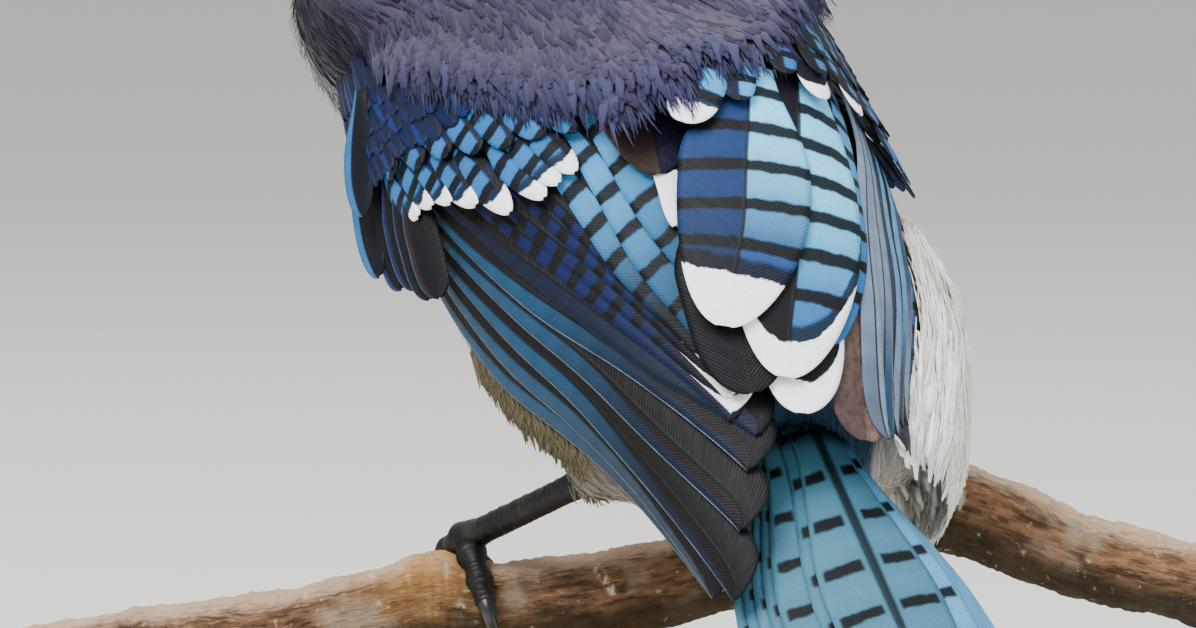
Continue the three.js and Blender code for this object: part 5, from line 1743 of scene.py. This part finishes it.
class JAY_OT_tail(bpy.types.Operator):
    """Build the barred tail feathers and the soft coverts over and under their roots"""

    bl_idname = "jay.tail"
    bl_label = "Tail"

    def execute(self, context):
        finish = plume_finish("tail_plume", dash=1.2, line=0.8, band=0.0)
        surface, half = tail_feathers([0, 0], [1, -1], (60, 17))
        plain = {"far": "tail_teal", "inner": "tail_teal", "bars": TAIL_BARS}
        look = {**plain, "outer": ["tail_teal", "tail_blue"], "slant": TAIL_SLANT}
        pieces = [put_feathers("tail_middle", surface, half, finish, look, 8, 0.35, 0.86, 2.4)]
        pairs = np.repeat(np.arange(1, TAIL_PAIRS), 2)
        surface, half = tail_feathers(pairs, np.tile([1, -1], TAIL_PAIRS - 1), (60, 17))
        look = {**plain, "outer": ["tail_blue", "tail_sky"] * 5, "far": ["tail_teal", "tail_sky"] * 5,
                "tip": 1.5 + 3.2 * pairs, "follow": 0.8, "slant": np.tile(TAIL_SLANT, TAIL_PAIRS - 1)}
        pieces.append(put_feathers("tail_outer", surface, half, finish, look, 9, 0.35, 0.86, 2.4, 0.15))
        rng = np.random.default_rng(71)
        finish = plumage_finish()
        for name, over, tint in (("over", 1, colour(78, 138, 156)), ("under", -1, MARKS["white"])):
            count = TAIL_COVERTS
            x = rng.uniform(-12, 12, count) if over > 0 else rng.uniform(-9, 8, count)
            along = rng.uniform(-76, -54, count)
            top = 12.6 - 0.05 * x**2 if over > 0 else -2.5 + 0.05 * x**2 - (along + 54) * 0.12
            roots = on_bird(x, along, top)
            out = unit(over * BODY_BACK + 0.06 * x[:, None] * BODY_AXES[0])
            lie = unit(-BODY_AHEAD + rng.normal(0, 0.1, (count, 3)))
            lie = unit(pressed(lie, out))
            pieces += put_coat(f"tail_coverts_{name}", finish, roots, out, lie, rng.uniform(9, 15, count),
                               rng.uniform(1.5, 4.5, count),
                               0.12, 72, shape=(5, 3), tint=tint, bend=200, sink=0.4)
        for piece in pieces:
            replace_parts(piece, "tail")
        return {"FINISHED"}


class JAY_OT_head(bpy.types.Operator):
    """Add the crest, eyes, lids, bill and the bristles over the nostrils"""

    bl_idname = "jay.head"
    bl_label = "Crest, eyes and bill"

    def execute(self, context):
        crest = plume_finish("crest_plume", line=0.0)
        surface, half = crest_feathers(150, (14, 5))
        look = {"outer": "crest", "far": "crest", "inner": "crown"}
        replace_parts(put_feathers("crest", surface, half, crest, look, 10, 0.2, 0.4, 2.0), "head")
        glossy, horn = eye_finish(), horn_finish()
        for name, side in (("left", 1), ("right", -1)):
            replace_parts(put_tubes(f"eye_{name}_ball", eye_ball(side), glossy), f"eye_{name}")
            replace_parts(put_tubes(f"lid_{name}", lid_rim(side), leg_finish()), "head")
        for upper in (True, False):
            name = "upper" if upper else "lower"
            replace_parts(put_tubes(f"bill_{name}_horn", bill_half(upper), horn), f"bill_{name}")
        axes = (HEAD_UP, HEAD_LEFT, HEAD_AHEAD)
        pits = [ball(on_head(BILL_BASE + 5.5, side * 3.25, 1.8), axes, (0.5, 0.5, 1.5), 12, 16)
                for side in (1, -1)]
        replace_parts(put_tubes("nostrils", np.stack(pits), leg_finish()), "bill_upper")
        rng = np.random.default_rng(81)
        count = 260
        turn = rng.uniform(-1.2, 1.2, count)
        reach = rng.uniform(0.6, 1.0, count)
        left, up = np.sin(turn) * 4.9 * reach, -1.2 + np.cos(turn) * 5.6 * reach
        roots = on_head(BILL_BASE - 1.2 + 0 * left, left, up)
        out = unit(left[:, None] * HEAD_LEFT + (up + 1.4)[:, None] * HEAD_UP)
        lie = unit(HEAD_AHEAD - 0.12 * HEAD_UP + rng.normal(0, 0.1, (count, 3)))
        lie = unit(pressed(lie, out))
        for piece in put_coat("nostril_bristles", plumage_finish(), roots, out, lie,
                              rng.uniform(5, 8.5, count), 0.55, 0.1, 82,
                              shape=(6, 2), tint=colour(34, 38, 58), bend=16, sink=0.0, thickness=0.2):
            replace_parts(piece, "head")
        return {"FINISHED"}


class JAY_OT_legs(bpy.types.Operator):
    """Build both shanks, and the toes and claws that grip the branch"""

    bl_idname = "jay.legs"
    bl_label = "Legs and feet"

    def execute(self, context):
        scales, horn = leg_finish(), horn_finish()
        for name, leg in LEGS.items():
            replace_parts(put_tubes(f"shank_{name}", tarsus_surface(leg), scales), f"leg_{name}")
            toes = np.stack([toe_surface(leg, toe) for toe in TOES])
            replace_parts(put_tubes(f"toes_{name}", toes, scales), f"foot_{name}")
            middle, up, away, along, radius = branch_frame(np.array([leg["distance"]]))
            centre = (middle + up * (radius[:, None] + 2.5))[0]
            hub = ball(centre, (along[0], away[0], up[0]), (3.1, 3.2, 2.4), 16, 20)
            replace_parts(put_tubes(f"foot_joint_{name}", hub, scales), f"foot_{name}")
            claws = np.stack([claw_surface(leg, toe) for toe in TOES])
            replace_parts(put_tubes(f"claws_{name}", claws, horn), f"foot_{name}")
        return {"FINISHED"}


class JAY_OT_perch(bpy.types.Operator):
    """Build the cut length of branch with its bark, knot and sawn ends"""

    bl_idname = "jay.perch"
    bl_label = "Branch"

    def execute(self, context):
        rings, grain, marks = branch_surface()
        branch = put_tubes("branch", rings, bark_finish(), {"grain": grain, "marks": marks})
        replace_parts(branch, "perch")
        sawn = cut_wood_finish()
        for name, ring, way in (("left", rings[0], -1), ("right", rings[-1], 1)):
            middle = ring.mean(axis=0)
            share = np.linspace(0.04, 0.985, 24)[:, None, None]
            _, _, _, along, _ = branch_frame(np.array([way * BRANCH_REACH]))
            dome = 0.25 * way * along[0] * (1.2 - share**6)
            disc = middle + (ring[None] - middle) * share + dome
            back = middle + (ring[None] - middle) * share[::-1] - way * along[0] * 0.3
            both = np.concatenate([disc, back])
            out = np.concatenate([share, share[::-1]])[:, 0, 0]
            turn = np.linspace(0, 2 * math.pi, ring.shape[0], endpoint=False)
            r, a = np.meshgrid(out, turn, indexing="ij")
            field = np.stack([r * 7, np.abs(a - math.pi), 0 * a], -1).reshape(-1, 3)
            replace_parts(put_tubes(f"sawn_end_{name}", both, sawn, {"grain": field}), "perch")
        return {"FINISHED"}


class JAY_OT_stand(bpy.types.Operator):
    """Build the turned base and the two rods"""

    bl_idname = "jay.stand"
    bl_label = "Stand"

    def execute(self, context):
        bend = np.linspace(0, math.pi / 2, 10)
        top = np.stack([BASE_RADIUS - 3 + 3 * np.cos(bend), BASE_HEIGHT - 3 + 3 * np.sin(bend)], -1)
        foot = np.array([[0.01, 0.0], [20, 0], [BASE_RADIUS - 1.2, 0], [BASE_RADIUS - 0.3, 0.3],
                         [BASE_RADIUS, 1.2]])
        crown = np.array([[BASE_RADIUS - 12, BASE_HEIGHT], [30, BASE_HEIGHT], [0.01, BASE_HEIGHT]])
        profile = np.concatenate([foot, top, crown])
        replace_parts(put_tubes("base", turned(profile, 160), stand_wood_finish()), "stand_base")
        steel = metal_finish()
        for name, place in ROD_PLACES.items():
            x, y, high = branch_frame(np.array([place]))[0][0]
            shaft = np.linspace(BASE_HEIGHT + 2.6, high, 20)
            heights = np.concatenate([BASE_HEIGHT + COLLAR[:, 1], shaft])
            radii = np.concatenate([COLLAR[:, 0], np.full(20, ROD_RADIUS)])
            rod = turned(np.column_stack([radii, heights]), 64) + np.array([x, y, 0])
            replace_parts(put_tubes(f"rod_{name}", rod, steel), f"stand_rod_{name}")
        return {"FINISHED"}


CAMERA_AZIMUTH = 152 * DEG
CAMERA_ELEVATION = 5 * DEG
CAMERA_DISTANCE = 2500
CAMERA_LENS = 466.6

# How far the view's middle lies to the left of the body's middle and under it
VIEW_LEFT = 10.0
VIEW_UNDER = 15.97

FLOOR_REACH = 6.0
WORLD_COLOUR = (0.80, 0.84, 0.80, 1)
WORLD_STRENGTH = 0.85
LIGHTS_HEIGHT = 0.12

# Name, azimuth and height in degrees, distance, size, power
LIGHTS = (
    ("key", 118, 50, 1.1, 0.6, 22.0), ("fill", 205, 25, 1.2, 0.9, 7.0),
    ("rim", -20, 45, 1.2, 0.8, 6.0), ("top", 170, 78, 1.2, 0.8, 9.0),
)


def camera_axes():
    """Right, up and towards-the-camera directions of the view."""
    back = np.array([math.sin(CAMERA_AZIMUTH) * math.cos(CAMERA_ELEVATION),
                     -math.cos(CAMERA_AZIMUTH) * math.cos(CAMERA_ELEVATION), math.sin(CAMERA_ELEVATION)])
    right = unit(np.cross([0, 0, 1.0], back))
    return right, np.cross(back, right), back


class JAY_OT_stage(bpy.types.Operator):
    """Set the floor, the soft studio lights and the camera"""

    bl_idname = "jay.stage"
    bl_label = "Stage"

    def execute(self, context):
        right, up, back = camera_axes()
        target = np.array([0, 0, BODY_HEIGHT]) - right * VIEW_LEFT - up * VIEW_UNDER
        place = target + back * CAMERA_DISTANCE
        data = bpy.data.cameras.new("view")
        data.lens = CAMERA_LENS
        data.clip_end = 20
        camera = bpy.data.objects.new("view", data)
        camera.location = place * MM
        camera.rotation_euler = Vector(back).to_track_quat("Z", "Y").to_euler()
        context.scene.collection.objects.link(camera)
        context.scene.camera = camera

        floor = bpy.data.meshes.new("floor")
        corners = [(x * FLOOR_REACH, y * FLOOR_REACH, 0) for x, y in ((-1, -1), (1, -1), (1, 1), (-1, 1))]
        floor.from_pydata(corners, [], [(0, 1, 2, 3)])
        s = Shader("studio_floor", Roughness=0.9)
        speck = s.noise(s.place(), 300.0, 2.0)
        pale = tuple(context.scene.jay.floor_colour)
        floor.materials.append(s.finish(s.mix(speck * 0.1, pale, tuple(0.9 * part for part in pale))))
        ground = bpy.data.objects.new("floor", floor)
        context.scene.collection.objects.link(ground)

        world = bpy.data.worlds.new("studio")
        world.use_nodes = True
        background = world.node_tree.nodes["Background"]
        background.inputs["Color"].default_value = WORLD_COLOUR
        background.inputs["Strength"].default_value = WORLD_STRENGTH
        context.scene.world = world
        for name, turn, rise, distance, size, power in LIGHTS:
            light = bpy.data.lights.new(name, "AREA")
            light.energy = power
            light.size = size
            lamp = bpy.data.objects.new(name, light)
            turn, rise = turn * DEG, rise * DEG
            way = Vector((math.sin(turn) * math.cos(rise), -math.cos(turn) * math.cos(rise),
                          math.sin(rise)))
            lamp.location = way * distance + Vector((0, 0, LIGHTS_HEIGHT))
            lamp.rotation_euler = way.to_track_quat("Z", "Y").to_euler()
            context.scene.collection.objects.link(lamp)
        return {"FINISHED"}


STEPS = ("skin", "coat", "mantle", "flanks", "wings", "tail", "head", "legs", "perch", "stand", "stage")


class JAY_PT_panel(bpy.types.Panel):
    """Sizes and steps of the blue jay"""

    bl_idname = "JAY_PT_panel"
    bl_label = "Blue jay"
    bl_space_type = "VIEW_3D"
    bl_region_type = "UI"
    bl_category = "Blue jay"

    def draw(self, context):
        for name in JaySizes.__annotations__:
            self.layout.prop(context.scene.jay, name)
        for step in STEPS:
            self.layout.operator(f"jay.{step}")


CLASSES = (
    JaySizes, JAY_OT_skin, JAY_OT_coat, JAY_OT_mantle, JAY_OT_flanks, JAY_OT_wings, JAY_OT_tail,
    JAY_OT_head, JAY_OT_legs, JAY_OT_perch, JAY_OT_stand, JAY_OT_stage, JAY_PT_panel,
)


def register():
    for cls in CLASSES:
        bpy.utils.register_class(cls)
    bpy.types.Scene.jay = bpy.props.PointerProperty(type=JaySizes)


def unregister():
    del bpy.types.Scene.jay
    for cls in reversed(CLASSES):
        bpy.utils.unregister_class(cls)


def main():
    register()
    for step in STEPS:
        getattr(bpy.ops.jay, step)()


if __name__ == "__main__":
    main()
